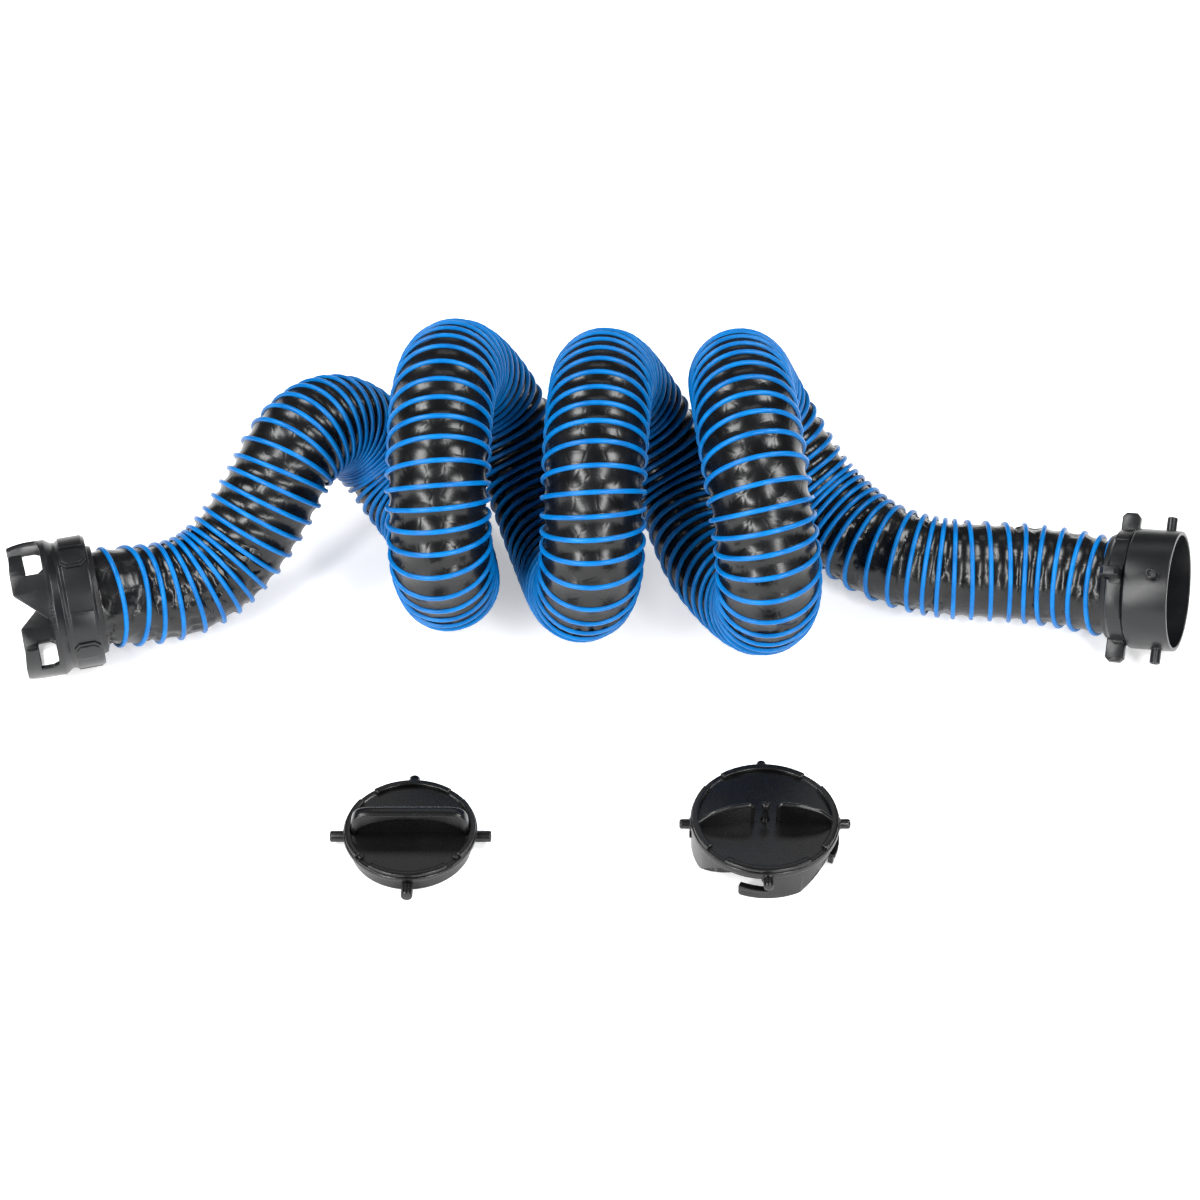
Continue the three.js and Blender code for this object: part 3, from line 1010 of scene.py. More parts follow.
@dataclass
class Hose:
    """The corrugated hose: a black film sleeve drawn in between the turns of a blue rib.

    A bunch is a place along the hose, its half-length and the factor on the rib's pitch; a place below 0
    counts from the lug end. A wander is its share of the pitch, its wavelength over TAU and its shift.
    """

    shop: Workshop
    route: HoseRoute = field(default_factory=HoseRoute)
    rib_radius: float = 43.5
    film_radius: float = 41.9
    bore_radius: float = 38.0
    rib_width: float = 3.9
    rib_height: float = 2.6
    ring_end_pitch: float = 20.6
    straight_pitch: float = 17.6
    coil_pitch: float = 13.2
    stretched_length: float = 230.0
    bunches: tuple[Point3, ...] = (
        (108.0, 16.0, 0.66), (290.0, 70.0, 0.60), (-152.0, 22.0, 0.58), (-205.0, 18.0, 1.25),
        (-262.0, 34.0, 0.62),
    )
    bend_radius: float = 92.0
    pitch_spread: int = 60
    wander: tuple[Point3, ...] = ((0.05, 37.0, 0.0), (0.04, 17.0, 1.0))
    rings_per_turn: int = 9
    around: int = 72
    rib_steps: int = 40
    bare_end: float = 2.0
    slack_below: float = 125.0
    slack_fade: float = 50.0
    shallow: float = 1.2
    crowding: float = 23.0
    valley_shape: float = 0.8
    crease_lanes: int = 26
    crease_depth: float = 3.4
    pucker_lanes: int = 44
    pucker_depth: float = 1.3
    dent_lanes: int = 7
    dent_depth: float = 1.4

    def __post_init__(self) -> None:
        """Sample the route and place the rib's turns along it."""
        self.line = self.route.sample()
        spread = self.pitch_spread
        tight = np.pad(self._tightness(self.line.bend), spread, mode="edge")
        tight = np.convolve(tight, window(2 * spread + 1), "valid")
        waves = (share * np.sin(self.line.run / wave + shift) for share, wave, shift in self.wander)
        wander = sum(waves, 1.0)
        stretched = np.clip(1.0 - self.line.run / self.stretched_length, 0.0, 1.0) ** 0.7
        loose = self.straight_pitch + (self.ring_end_pitch - self.straight_pitch) * stretched
        pitch = (loose + (self.coil_pitch - loose) * tight) * wander
        for place, half, factor in self.bunches:
            centre = place if place > 0 else self.line.run[-1] + place
            pitch *= 1.0 + (factor - 1.0) * np.exp(-((self.line.run - centre) / half) ** 2)
        self.turn_at = np.concatenate([[0.0], np.cumsum(np.diff(self.line.run) / pitch[1:])])
        self.pitch = pitch

    def _tightness(self, bend: np.ndarray) -> np.ndarray:
        """Return 0 where the hose is straight, up to 1 where it is bent as tightly as in the coil."""
        return np.clip(np.linalg.norm(bend, axis=-1) * self.bend_radius, 0.0, 1.0)

    @property
    def length(self) -> float:
        """Length of the centreline in millimetres."""
        return float(self.line.run[-1])

    def _outward(self, where: np.ndarray, angle: np.ndarray) -> np.ndarray:
        """Return the directions away from the centreline.

        Args:
            where: Distances along the hose.
            angle: Angles round it.

        Returns:
            The unit vectors.
        """
        side = self.line.at(self.line.side, where)
        up = self.line.at(self.line.up, where)
        return side * np.cos(angle)[..., None] + up * np.sin(angle)[..., None]

    def _surface(self, where: np.ndarray, angle: np.ndarray, radius: np.ndarray | float) -> np.ndarray:
        """Return points round the centreline.

        Args:
            where: Distances along the hose.
            angle: Angles round it.
            radius: Distances from the centreline.

        Returns:
            The points.
        """
        radius = np.broadcast_to(radius, where.shape)
        return self.line.at(self.line.place, where) + self._outward(where, angle) * radius[..., None]

    def _film_radius(self, where: np.ndarray, angle: np.ndarray) -> np.ndarray:
        """Return the film's outer radius: drawn in between ribs, deeper where they crowd, and creased.

        Args:
            where: Distances along the hose.
            angle: Angles round it.

        Returns:
            The radii.
        """
        share = np.interp(where, self.line.run, self.turn_at) - angle / TAU
        valley = np.sin(np.pi * (share - np.floor(share))) ** self.valley_shape
        bend = self.line.at(self.line.bend, where)
        stretch = 1.0 - self.rib_radius * (bend * self._outward(where, angle)).sum(-1)
        spacing = np.interp(where, self.line.run, self.pitch) * np.clip(stretch, 0.3, 1.8)
        depth = self.shallow + self.crowding / np.clip(spacing, 6.0, 24.0)
        lanes = angle / TAU
        crease = Ripple(3, self.crease_lanes)(share * 1.7, lanes * self.crease_lanes)
        patch = Ripple(5, self.dent_lanes)(share * 0.8, lanes * self.dent_lanes)
        pucker = Ripple(9, self.pucker_lanes)(share * 3.1 + lanes * 9, lanes * self.pucker_lanes)
        sharp = np.clip(1.0 - np.abs(crease - 0.5) * 7.0, 0.0, 1.0) * np.clip((patch - 0.38) * 4.0, 0.0, 1.0)
        height = self._surface(where, angle, self.film_radius)[..., 2]
        low = np.clip((self.slack_below - height) / self.slack_fade, 0.0, 0.9)
        crowded = np.clip((16.0 - spacing) / 6.0, 0.2, 1.0)
        slack = np.maximum(crowded * 0.3, low * (0.16 + 0.95 * self._tightness(bend)))
        dents = (sharp * self.crease_depth + (pucker - 0.5) * self.pucker_depth
                 + (patch - 0.5) * self.dent_depth) * slack
        return self.film_radius - valley * (depth + dents)

    def sleeve(self) -> bpy.types.Object:
        """Build the film sleeve, outside and bore, as one closed skin."""
        rings = int(self.turn_at[-1] * self.rings_per_turn)
        turn = np.linspace(0.0, self.turn_at[-1], rings)
        where = np.interp(turn, self.turn_at, self.line.run)
        angle = np.arange(self.around) / self.around * TAU
        grid_s, grid_a = np.meshgrid(where, angle, indexing="ij")
        radius = self._film_radius(grid_s, grid_a)
        near_end = np.minimum(grid_s, self.length - grid_s)
        radius = np.where(near_end < self.bare_end, self.film_radius - 0.6, radius)
        outside = self._surface(grid_s, grid_a, radius).reshape(-1, 3)
        faces = swept_faces(rings, self.around, False)
        inner_rings, inner_around = rings // 6, self.around // 2
        where_in = np.linspace(0.0, self.length, inner_rings)
        in_s, in_a = np.meshgrid(where_in, angle[::2], indexing="ij")
        inside = self._surface(in_s, in_a, self.bore_radius).reshape(-1, 3)
        base = len(outside)
        for face in swept_faces(inner_rings, inner_around, False):
            faces.append(tuple(base + i for i in reversed(face)))
        far_end = (base - self.around, base + len(inside) - inner_around, True)
        for outer0, inner0, flip in ((0, base, False), far_end):
            for j in range(inner_around):
                a, b, c = 2 * j, (2 * j + 1) % self.around, (2 * j + 2) % self.around
                d, e = inner0 + j, inner0 + (j + 1) % inner_around
                for tri in ((outer0 + a, outer0 + b, d), (outer0 + b, e, d), (outer0 + b, outer0 + c, e)):
                    faces.append(tuple(reversed(tri)) if flip else tri)
        shell = Shell(np.vstack([outside, inside]), faces)
        return self.shop.piece("hose_film_sleeve", [shell], Matrix.Identity(4), self.shop.palette.film,
                               Body.HOSE, Slot.FILM, ["hose_tube"], sharp=60.0)

    def rib(self) -> bpy.types.Object:
        """Build the blue rib as one long D-shaped strip that winds along the hose."""
        first = np.interp(self.bare_end, self.line.run, self.turn_at)
        last = np.interp(self.length - self.bare_end, self.line.run, self.turn_at)
        turn = np.linspace(first, last, int((last - first) * self.rib_steps))
        where = np.interp(turn, self.turn_at, self.line.run)
        angle = turn * TAU
        core = self._surface(where, angle, self.rib_radius - self.rib_height)
        out = unit(self._surface(where, angle, self.rib_radius) - core)
        across = unit(np.cross(unit(np.gradient(core, axis=0)), out))
        half, top = self.rib_width / 2, self.rib_height
        section = [(-half, 0.0), (half, 0.0), (half, 1.2), (half * 0.86, 1.95), (half * 0.5, 2.45),
                   (0.0, top), (-half * 0.5, 2.45), (-half * 0.86, 1.95), (-half, 1.2)]
        shell = tube_of(np.stack([core + across * x + out * y for x, y in section], 1))
        return self.shop.piece("hose_blue_rib", [shell], Matrix.Identity(4), self.shop.palette.rib,
                               Body.HOSE, Slot.FILM, sharp=70.0)

    def build(self) -> tuple[bpy.types.Object, bpy.types.Object]:
        """Build the sleeve and its rib."""
        return self.sleeve(), self.rib()


# ---------------------------------------------------------------------------------------------------
# Fittings
# ---------------------------------------------------------------------------------------------------


@dataclass
class BayonetEnd:
    """Left end: cuff, seal and the swivelling ring with four hooks and hexagonal bosses."""

    shop: Workshop
    bore: float = 53.5
    outer: float = 57.5
    collar: float = 55.0
    collar_length: float = 25.0
    length: float = 65.0
    hook_depth: float = 27.0
    finger: float = 12.0
    first_hook: float = -34.0
    base_end: float = 16.0
    tip: float = 41.0
    slant_foot: float = -26.0
    boss_height: float = 2.6
    sunk: float = 2.0
    pad_from: float = 42.0
    pad_to: float = 67.0
    pad_height: float = 1.6
    cuff_outline: tuple[Point3, ...] = (
        (38.0, 1.0, 0.4), (49.2, 1.0, 0.8), (49.2, 6.4, 0.2), (51.1, 6.4, 0.3), (51.1, 14.0, 0.5),
        (48.0, 16.0, 0.5), (48.0, 35.0, 0.8), (46.0, 35.0, 0.8), (46.0, 20.0, 1.0), (38.0, 16.0, 1.0),
    )
    lip_outline: tuple[Point3, ...] = (
        (42.6, -4.0, 0.6), (45.0, -4.0, 0.9), (46.6, 1.4, 0.3), (42.6, 1.4, 0.3),
    )
    seal_outline: tuple[Point3, ...] = (
        (48.4, 32.8, 0.4), (53.1, 32.8, 0.4), (53.1, 36.4, 0.8), (48.4, 37.6, 1.2),
    )

    def __post_init__(self) -> None:
        """Place the fitting."""
        self.place = fitting_frame(RING_REAR, RING_AXIS)

    def _collar(self) -> Shell:
        """Return the turned part: rear wall, collar, waist and the band that the hooks stand on."""
        band = self.length - self.hook_depth
        corners = [
            (49.6, 0.0, 0.4), (self.collar - 1.0, 0.0, 1.0), (self.collar, 2.0, 0.8),
            (self.collar, self.collar_length - 2.5, 1.2), (53.4, self.collar_length, 1.2),
            (53.4, self.collar_length + 2.5, 1.6), (self.outer, band - 4.5, 3.5), (self.outer, band, 0.6),
            (self.bore, band, 0.6), (self.bore, 32.5, 0.8), (50.6, 32.5, 0.5), (50.6, 23.5, 0.4),
            (51.5, 22.0, 0.4), (51.5, 6.0, 0.3), (49.6, 6.0, 0.3),
        ]
        return ring_of(rounded(corners), FINE_ROUND)

    def _hook(self, start: float) -> Shell:
        """Return one hook: slanted lead-in, base and the finger over its window.

        Args:
            start: Where its base starts, in degrees.

        Returns:
            The hook.
        """
        top, deep = self.length, self.length - self.hook_depth
        window_roof = top - self.finger
        corners = [
            (start - 48.0, deep - 5.0, 0.0), (start + 19.5, deep - 5.0, 0.0), (start + 19.5, deep, 0.5),
            (start + self.base_end, deep + 4.5, 1.5), (start + self.base_end, window_roof, 2.0),
            (start + self.tip, window_roof - 0.6, 1.8), (start + self.tip, top - 1.5, 3.2),
            (start + 20.0, top, 12.0), (start, top, 4.0), (start + self.slant_foot, deep + 0.1, 12.0),
            (start - 48.0, deep + 0.1, 0.0),
        ]
        return band_piece(corners, self.bore, self.outer, 0.8)

    def _boss(self, start: float) -> list[Shell]:
        """Return one hexagonal boss: a low foot with a narrower block on it.

        Args:
            start: Where the hook beside it starts, in degrees.

        Returns:
            Its two blocks.
        """
        low, high = start + 17.5, start + 37.5
        mid = (low + high) / 2
        foot = [(low, 6.5, 0.8), (low + 4.5, 2.2, 0.8), (high - 4.5, 2.2, 0.8), (high, 6.5, 0.8),
                (high, 19.5, 0.8), (high - 4.5, 24.0, 0.8), (low + 4.5, 24.0, 0.8), (low, 19.5, 0.8)]
        block = [(mid + (a - mid) * 0.72, 13.1 + (z - 13.1) * 0.84, r) for a, z, r in foot]
        root = self.collar - self.sunk
        return [band_piece(foot, root, self.collar + self.boss_height * 0.62, 0.5),
                band_piece(block, root, self.collar + self.boss_height, 0.6)]

    def _pad(self, start: float) -> Shell:
        """Return the flat raised pad on the collar between two bosses.

        Args:
            start: Where the hook beside it starts, in degrees.

        Returns:
            The pad.
        """
        corners = block_outline(start + self.pad_from, start + self.pad_to, 2.6, 22.4)
        return band_piece(corners, self.collar - self.sunk, self.collar + self.pad_height, 0.6)

    def build(self) -> list[bpy.types.Object]:
        """Build the ring, cuff and seal."""
        shells = [self._collar()]
        for k in QUARTERS:
            start = self.first_hook + QUARTER * k
            shells += [self._hook(start), *self._boss(start), self._pad(start)]
        ring = self.shop.piece("bayonet_ring_moulding", shells, self.place, self.shop.palette.fitting,
                               Body.RING, Slot.FITTING, ["bayonet_ring"])
        sleeve = [ring_of(rounded(outline)) for outline in (self.cuff_outline, self.lip_outline)]
        cuff = self.shop.piece("bayonet_cuff_sleeve", sleeve, self.place, self.shop.palette.cuff,
                               Body.HOSE, Slot.FITTING, ["bayonet_cuff"])
        seal = self.shop.piece("bayonet_lip_seal", [ring_of(rounded(self.seal_outline))], self.place,
                               self.shop.palette.seal, Body.HOSE, Slot.SEAL, ["bayonet_seal"])
        return [ring, cuff, seal]


@dataclass
class LugEnd:
    """Right end: cuff, seal and the swivelling barrel with four pins and a tabbed collar."""

    shop: Workshop
    barrel: float = 51.0
    bore: float = 47.5
    barrel_length: float = 38.8
    collar: float = 47.6
    collar_length: float = 14.7
    pin: float = 4.4
    pin_tip: float = 63.5
    pin_from_mouth: float = 12.5
    tab_tip: float = 65.0
    tab_width: float = 16.5
    tab_thick: float = 8.0
    tab_root: float = 45.5
    tab_clip: float = 3.4
    first_pin: float = 38.0
    panel_high: float = 14.2
    panel_root: float = 45.0
    cuff_outline: tuple[Point3, ...] = (
        (38.0, 0.6, 0.3), (43.9, 0.6, 0.3), (43.9, 19.6, 0.4), (40.0, 19.6, 0.4), (38.0, 17.0, 0.6),
    )
    lip_outline: tuple[Point3, ...] = (
        (42.2, -3.4, 0.5), (44.2, -3.4, 0.8), (45.6, 0.9, 0.3), (42.2, 0.9, 0.2),
    )
    seal_outline: tuple[Point3, ...] = (
        (40.4, 19.9, 0.6), (46.6, 19.9, 0.6), (46.6, 24.0, 0.8), (40.4, 24.0, 1.2),
    )

    def __post_init__(self) -> None:
        """Place the fitting."""
        self.place = fitting_frame(LUG_REAR, LUG_AXIS)
        self.mouth = self.collar_length + self.barrel_length

    def _barrel(self) -> bpy.types.Object:
        """Build the barrel and its four hollow-tipped pins."""
        rear = self.collar_length + 0.3
        profile = rounded([
            (self.bore - 3.0, rear, 0.3), (self.collar, rear, 0.4), (self.barrel, rear + 2.2, 1.2),
            (self.barrel, self.mouth, 0.9), (self.bore, self.mouth, 0.7), (self.bore, rear + 4.0, 1.0),
            (self.bore - 3.0, rear + 4.0, 0.4)])
        shells = [ring_of(profile, FINE_ROUND)]
        height = self.mouth - self.pin_from_mouth
        for k in QUARTERS:
            angle = self.first_pin + QUARTER * k
            shells.append(radial_pin(self.pin, self.bore + 1.5, self.pin_tip, height, angle, 1.3, 2.3))
            shells.append(radial_pin(self.pin + 0.9, self.bore + 1.5, self.barrel + 0.7, height, angle, 0.6))
        return self.shop.piece("lug_barrel_moulding", shells, self.place, self.shop.palette.fitting,
                               Body.LUG, Slot.FITTING, ["lug_barrel"])

    def _tab(self, angle: float) -> Shell:
        """Return one flat wing tab with clipped corners.

        Args:
            angle: Its direction, in degrees.

        Returns:
            The tab.
        """
        low, high = self.collar_length - self.tab_width + 0.8, self.collar_length
        root, tip, clip = self.tab_root, self.tab_tip, self.tab_clip
        outline = rounded([
            (root, low, 0.0), (tip - clip, low, 0.8), (tip, low + clip, 0.8),
            (tip, high - clip, 0.8), (tip - clip, high, 0.8), (root, high, 0.0)])
        half = self.tab_thick / 2
        return upright(plate_of(outline, -half, half, 1.3), angle)

    def _collar(self) -> bpy.types.Object:
        """Build the collar with its tabs and raised panels."""
        profile = rounded([
            (44.5, 0.6, 0.2), (self.collar - 1.8, 0.6, 0.5), (self.collar, 3.2, 0.8),
            (self.collar, self.collar_length, 0.5), (44.5, self.collar_length, 0.2)])
        shells = [ring_of(profile, FINE_ROUND)]
        for k in QUARTERS:
            angle = self.first_pin + QUARTER * k
            high = self.panel_high
            panel = [(angle + 5.0, 2.0, 0.6), (angle + 46.5, 2.0, 0.8), (angle + 46.5, high, 0.8),
                     (angle + 5.0, high, 0.6)]
            step = block_outline(angle - 9.0, angle + 9.0, 4.5, high, 0.6)
            shells += [self._tab(angle), band_piece(panel, self.panel_root, self.collar + 1.3, 0.5),
                       band_piece(step, self.panel_root, self.collar + 2.1, 0.6)]
        return self.shop.piece("lug_collar_moulding", shells, self.place, self.shop.palette.fitting,
                               Body.LUG, Slot.FITTING, ["lug_collar"])

    def build(self) -> list[bpy.types.Object]:
        """Build the barrel, collar, cuff and seal."""
        sleeve = [ring_of(rounded(outline)) for outline in (self.cuff_outline, self.lip_outline)]
        cuff = self.shop.piece("lug_cuff_sleeve", sleeve, self.place, self.shop.palette.cuff,
                               Body.HOSE, Slot.FITTING, ["lug_cuff"])
        seal = self.shop.piece("lug_lip_seal", [ring_of(rounded(self.seal_outline))], self.place,
                               self.shop.palette.seal, Body.HOSE, Slot.SEAL, ["lug_seal"])
        return [self._barrel(), self._collar(), cuff, seal]


# ---------------------------------------------------------------------------------------------------
# Caps
# ---------------------------------------------------------------------------------------------------


def strip_along(points: Sequence[Point3], radius: float, sides: int = 10) -> Shell:
    """Make a round bead along a line, closed at both ends.

    Args:
        points: The line.
        radius: The bead's radius.
        sides: Sides of its section.

    Returns:
        The bead.
    """
    p = np.array(points)
    ahead = unit(np.gradient(p, axis=0))
    side = unit(np.cross(ahead, (0.0, 1.0, 0.0)))
    up = np.cross(ahead, side)
    a = (np.arange(sides) / sides * TAU)[None, :, None]
    return tube_of(p[:, None] + radius * (np.cos(a) * side[:, None] + np.sin(a) * up[:, None]))


def rim_outline(middle: float, half: float, foot: float, height: float) -> list[Point3]:
    """Return the outline of one raised arc on a cap's rim.

    Args:
        middle: Its direction, in degrees.
        half: Half of its sweep, in degrees.
        foot: Height of its foot.
        height: How far it stands up.

    Returns:
        Degree, height and fillet radius of each corner.
    """
    left, right, top = middle - half, middle + half, foot + height
    return [(left, foot, 0.0), (right, foot, 0.0), (right, top, 1.2), (left, top, 1.2)]


@dataclass
class PinCap:
    """Left cap: a disc with a skirt, four pins, raised rim arcs and one thick scooped grip."""

    shop: Workshop
    disc: float = 53.0
    skirt: float = 48.5
    height: float = 17.0
    pin: float = 4.6
    pin_tip: float = 64.0
    grip_half: float = 47.0
    grip_height: float = 22.0
    grip_thin: float = 3.0
    grip_thick: float = 9.0
    grip_slope: float = 4.4
    grip_edge: float = 1.8
    rim_half: float = 37.0
    rim_height: float = 3.4
    nub: float = 2.6
    nub_angles: tuple[float, float] = (-141.0, -39.0)
    nub_out: float = 47.6

    def __post_init__(self) -> None:
        """Place the cap."""
        self.place = Matrix.Translation(PIN_CAP_AT + SHIFT)

    def _grip(self) -> Shell:
        """Return the grip bar: wider towards its foot, with an arched scoop in both sides."""
        top = self.height
        end = np.linspace(0.9, 1, 9)[1:]
        xs = np.concatenate([-end[::-1], np.linspace(-0.9, 0.9, 61), end])
        heights = np.linspace(0.0, 1.0, 44)
        rings = []
        for x in xs:
            crown = max(self.grip_height * max(1.0 - abs(x) ** 9, 0.0) ** 0.35, 0.6)
            arch = self.grip_height * 0.76 * math.sqrt(max(1.0 - (x / 0.93) ** 2, 0.0))
            z = heights * crown
            blend = np.clip((z - arch + 0.9) / 1.8, 0.0, 1.0)
            blend = blend * blend * (3 - 2 * blend)
            taper = math.sqrt(max(1.0 - abs(x) ** 14, 0.0))
            thick = self.grip_thick - self.grip_slope * z / self.grip_height
            wide = (self.grip_thin + (thick - self.grip_thin) * blend) * taper
            soft = np.clip((crown - z) / self.grip_edge, 0.0, 1.0)
            wide = np.maximum(wide - self.grip_edge * (1.0 - np.sqrt(1.0 - (1.0 - soft) ** 2)), 0.2)
            front = np.column_stack([np.full(len(z), x * self.grip_half), -wide, z + top])
            back = np.column_stack([np.full(len(z), x * self.grip_half), wide, z + top])[::-1]
            rings.append(np.vstack([front, back]))
        return tube_of(np.stack(rings))

    def build(self) -> list[bpy.types.Object]:
        """Build the cap's body and gasket."""
        t = self.height
        inside = self.skirt - 3.5
        profile = rounded([
            (0.0, t - 4.5, 0.0), (inside, t - 4.5, 1.0), (inside, 0.0, 0.6), (self.skirt, 0.0, 0.8),
            (self.skirt, t - 4.6, 0.8), (self.disc, t - 3.0, 0.8), (self.disc, t + 0.6, 1.2),
            (self.disc - 4.6, t + 0.6, 0.4), (self.disc - 5.4, t, 0.4), (0.0, t, 0.0)], closed=False)
        shells = [solid_of(profile)]
        for k in QUARTERS:
            middle = QUARTER * k
            arc = rim_outline(middle, self.rim_half, t, self.rim_height)
            shells.append(band_piece(arc, self.disc - 6.2, self.disc - 1.2, 0.9))
            shells.append(radial_pin(self.pin, self.skirt - 2.0, self.pin_tip, t - 8.0, middle, 1.4))
        foot, top = t - 0.5, t + 3.0
        nub_profile = [(0.0, foot, 0.0), (self.nub, foot, 0.0), (self.nub, top, 1.0), (0.0, top, 0.0)]
        nub = solid_of(rounded(nub_profile, closed=False), NUB_ROUND)
        for angle in map(math.radians, self.nub_angles):
            out = (math.cos(angle) * self.nub_out, math.sin(angle) * self.nub_out, 0.0)
            shells.append(nub.moved(Matrix.Translation(out)))
        shells.append(self._grip())
        body = self.shop.piece("pin_cap_moulding", shells, self.place, self.shop.palette.cap,
                               Body.PIN_CAP, Slot.CAP, ["pin_cap_body"])
        ring = rounded([(39.5, 9.0, 1.0), (44.7, 9.0, 0.5), (44.7, 12.2, 0.4), (39.5, 12.2, 0.4)])
        gasket = self.shop.piece("pin_cap_seal_ring", [ring_of(ring)], self.place, self.shop.palette.seal,
                                 Body.PIN_CAP, Slot.SEAL, ["pin_cap_gasket"])
        return [body, gasket]


@dataclass
class HookCap:
    """Right cap: a deep skirt with four hooks, four pins, rim arcs, two grip blades and a post."""

    shop: Workshop
    disc: float = 59.0
    bore: float = 53.5
    height: float = 31.0
    hook_depth: float = 22.0
    finger: float = 10.0
    first_hook: float = 72.0
    pin: float = 4.0
    pin_tip: float = 67.5
    pin_below: float = 5.6
    blade_angles: tuple[float, float] = (-4.0, 187.0)
    blade_inner: float = 10.5
    blade_outer: float = 53.0
    blade_height: float = 17.7
    blade_thick: float = 4.0
    bead: float = 1.9
    post_height: float = 18.2
    rim_half: float = 36.0
    rim_height: float = 3.6

    def __post_init__(self) -> None:
        """Place the cap and work out its open-side-up frame."""
        self.place = Matrix.Translation(HOOK_CAP_AT + SHIFT)
        self.deep = self.height - 4.0
        self.flip = Matrix.Translation((0, 0, self.deep)) @ Matrix.Rotation(math.pi, 4, "X")

    def _hook(self, start: float) -> Shell:
        """Return one hook of the skirt, open side up.

        Args:
            start: Where its base ends, in degrees.

        Returns:
            The hook.
        """
        top, roof = self.deep, self.deep - self.hook_depth
        corners = [
            (start - 44.0, roof - 3.0, 0.0), (start + 18.0, roof - 3.0, 0.0), (start + 18.0, roof, 0.5),
            (start + 16.0, roof + 3.0, 1.0), (start + 16.0, top - self.finger, 1.5),
            (start + 41.0, top - self.finger, 1.2), (start + 41.0, top, 2.6), (start - 9.0, top, 5.0),
            (start - 33.0, roof + 1.0, 14.0), (start - 44.0, roof + 0.1, 0.0)]
        return band_piece(corners, self.bore, self.disc - 1.2, 0.8)

    def _lip(self, start: float) -> Shell:
        """Return the raised catch along a finger's inner edge.

        Args:
            start: Where the hook's base ends, in degrees.

        Returns:
            The catch.
        """
        z = self.deep - self.finger
        root, tip = start + 17.0, start + 40.5
        corners = [(root, z - 0.4, 0.5), (tip, z - 1.8, 0.8), (tip, z + 2.0, 0.8), (root, z + 2.0, 0.5)]
        return band_piece(corners, self.bore + 0.4, self.disc + 0.4, 0.6)

    def _blade(self, degrees: float) -> list[Shell]:
        """Return one grip blade with the bead along its upper edge.

        Args:
            degrees: Its direction from the middle of the disc.

        Returns:
            Blade and bead.
        """
        top = self.height - 2.0
        inner, outer = self.blade_inner, self.blade_outer
        outline = rounded([
            (inner, top - 0.5, 0.0), (outer, top - 0.5, 0.0), (outer - 0.6, top + 3.5, 2.0),
            (43.0, top + 11.5, 18.0), (26.0, top + 16.8, 24.0), (inner, top + self.blade_height, 3.4)],
            steps=7)
        half = self.blade_thick / 2
        plate = plate_of(outline, -half * 0.6, half * 0.6, 0.5)
        edge = [p for p in outline if p[1] > top + 1.0]
        edge = [(outer - 0.2, top + 0.5), *edge, (inner, top + 0.5)]
        dense: list[Point3] = []
        for (x0, z0), (x1, z1) in zip(edge, edge[1:]):
            steps = max(1, int(math.dist((x0, z0), (x1, z1)) / 1.5))
            dense += [(x0 + (x1 - x0) * i / steps, 0.0, z0 + (z1 - z0) * i / steps) for i in range(steps)]
        dense.append((edge[-1][0], 0.0, edge[-1][1]))
        bead = strip_along(dense, self.bead)
        return [upright(plate, degrees), bead.turned(degrees)]

    def build(self) -> list[bpy.types.Object]:
        """Build the cap's body and gasket."""
        lower = rounded([
            (0.0, -2.0, 0.0), (self.disc - 5.2, -2.0, 0.5), (self.disc - 4.6, -2.6, 0.4),
            (self.disc - 0.3, -2.6, 1.0), (self.disc, 1.5, 0.9), (self.disc - 1.2, 3.0, 0.6),
            (self.disc - 1.2, 5.0, 0.6), (self.bore, 5.0, 0.6), (self.bore, 3.0, 0.8), (0.0, 3.0, 0.0)],
            closed=False)
        shells = [solid_of(lower).moved(self.flip)]
        for k in QUARTERS:
            start = self.first_hook + QUARTER * k
            shells += [self._hook(start).moved(self.flip), self._lip(start).moved(self.flip)]
        top = self.height - 2.0
        for k in QUARTERS:
            middle = QUARTER * k
            arc = rim_outline(middle, self.rim_half, top, self.rim_height)
            shells.append(band_piece(arc, self.disc - 6.8, self.disc - 1.2, 0.9))
            height = top - self.pin_below
            shells.append(radial_pin(self.pin, self.bore + 1.5, self.pin_tip, height, middle, 2.4))
            shells.append(radial_pin(self.pin + 1.3, self.bore + 1.5, self.disc + 0.6, height, middle, 0.8))
        for angle in self.blade_angles:
            shells += self._blade(angle)
        tip = top + self.post_height
        post = rounded([
            (0.0, top - 0.5, 0.0), (3.9, top - 0.5, 0.0), (2.7, top + 3.5, 2.0), (2.5, top + 11.0, 1.5),
            (3.5, top + 13.5, 1.2), (3.3, tip, 2.6), (0.0, tip, 0.0)], closed=False)
        shells.append(solid_of(post, POST_ROUND))
        body = self.shop.piece("hook_cap_moulding", shells, self.place, self.shop.palette.cap,
                               Body.HOOK_CAP, Slot.CAP, ["hook_cap_body"])
        ring = rounded([(44.0, 20.0, 1.0), (53.2, 20.0, 0.6), (53.2, 23.7, 0.4), (44.0, 23.7, 0.4)])
        gasket = self.shop.piece("hook_cap_seal_ring", [ring_of(ring)], self.place, self.shop.palette.seal,
                                 Body.HOOK_CAP, Slot.SEAL, ["hook_cap_gasket"])
        return [body, gasket]


# ---------------------------------------------------------------------------------------------------
# Studio
# ---------------------------------------------------------------------------------------------------


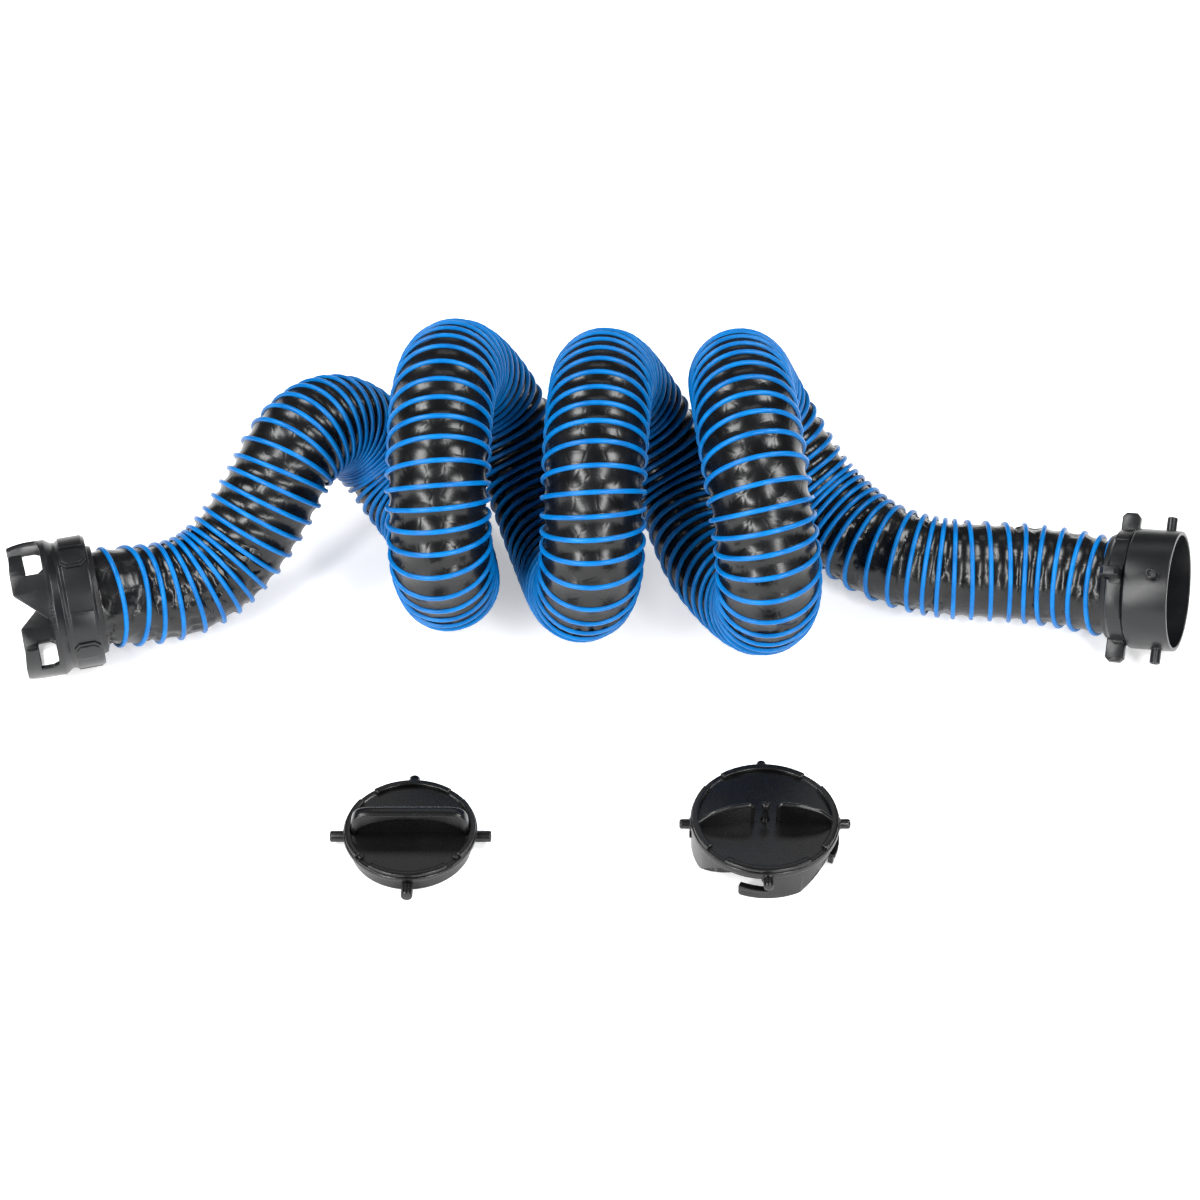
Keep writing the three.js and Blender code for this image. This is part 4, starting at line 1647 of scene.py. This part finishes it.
@dataclass
class Studio:
    """Camera, floor and soft lights."""

    palette: Palette
    elevation: float = 42.0
    distance: float = 2.335
    lens: float = 80.0
    sensor: float = 36.0
    floor_half: float = 6.0
    sky: float = 0.10
    looked_at: Point3 = (0.0, 0.05, 0.08)
    softboxes: tuple[tuple[str, Point3, Point2, float], ...] = (
        ("overhead_left", (-1.45, 0.15, 2.1), (1.2, 0.8), 50.0),
        ("overhead_right", (1.50, 0.15, 2.1), (1.2, 0.8), 48.0),
        ("back_glow", (0.05, 1.75, 1.95), (1.3, 0.55), 3.2),
        ("left_strip", (-1.3, -1.75, 1.3), (0.36, 2.4), 72.0),
        ("right_strip", (1.05, -1.9, 1.3), (0.30, 2.4), 60.0),
    )

    def camera(self) -> None:
        """Aim the camera along +Y and down at the floor between coil and caps."""
        data = bpy.data.cameras.new("studio_camera")
        data.lens = self.lens
        data.sensor_width = self.sensor
        data.clip_end = 50.0
        cam = bpy.data.objects.new("studio_camera", data)
        e = math.radians(self.elevation)
        cam.location = SHIFT * MM + Vector((0.0, -math.cos(e), math.sin(e))) * self.distance
        cam.rotation_euler = (math.pi / 2 - e, 0.0, 0.0)
        bpy.context.scene.collection.objects.link(cam)
        bpy.context.scene.camera = cam

    def floor(self) -> None:
        """Lay the pale floor."""
        mesh = bpy.data.meshes.new("studio_floor")
        h = self.floor_half
        mesh.from_pydata([(-h, -h, 0.0), (h, -h, 0.0), (h, h, 0.0), (-h, h, 0.0)], [], [(0, 1, 2, 3)])
        mesh.materials.append(self.palette.floor)
        obj = bpy.data.objects.new("studio_floor", mesh)
        bpy.context.scene.collection.objects.link(obj)

    def hang(self, name: str, place: Point3, size: Point2, power: float) -> None:
        """Args:
            name: The light's name.
            place: Where it hangs, in metres.
            size: Its width and height in metres.
            power: Its power in watts.
        """
        data = bpy.data.lights.new(name, "AREA")
        data.shape = "RECTANGLE"
        data.size, data.size_y = size
        data.energy = power
        light = bpy.data.objects.new(name, data)
        light.location = place
        light.rotation_euler = (Vector(self.looked_at) - Vector(place)).to_track_quat("-Z", "Y").to_euler()
        bpy.context.scene.collection.objects.link(light)

    def build(self) -> None:
        """Set up camera, floor, sky and lights."""
        self.camera()
        self.floor()
        world = bpy.data.worlds.new("studio_sky")
        world.use_nodes = True
        background = world.node_tree.nodes["Background"]
        background.inputs["Color"].default_value = (1.0, 1.0, 1.0, 1.0)
        background.inputs["Strength"].default_value = self.sky
        bpy.context.scene.world = world
        for softbox in self.softboxes:
            self.hang(*softbox)
        bpy.context.scene.view_settings.view_transform = "Standard"


def main() -> None:
    logging.basicConfig(level=logging.INFO, format="%(name)s: %(message)s")
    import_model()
    palette = Palette()
    Studio(palette).build()
    shop = Workshop(palette)
    hose = Hose(shop)
    sleeve, rib = hose.build()
    LOG.info("hose: %.0f mm long, %.0f turns of rib", hose.length, hose.turn_at[-1])
    lug_pieces = LugEnd(shop).build()
    BayonetEnd(shop).build()
    PinCap(shop).build()
    HookCap(shop).build()
    LOG.info("%d pieces built", len(shop.made))


if __name__ == "__main__":
    main()
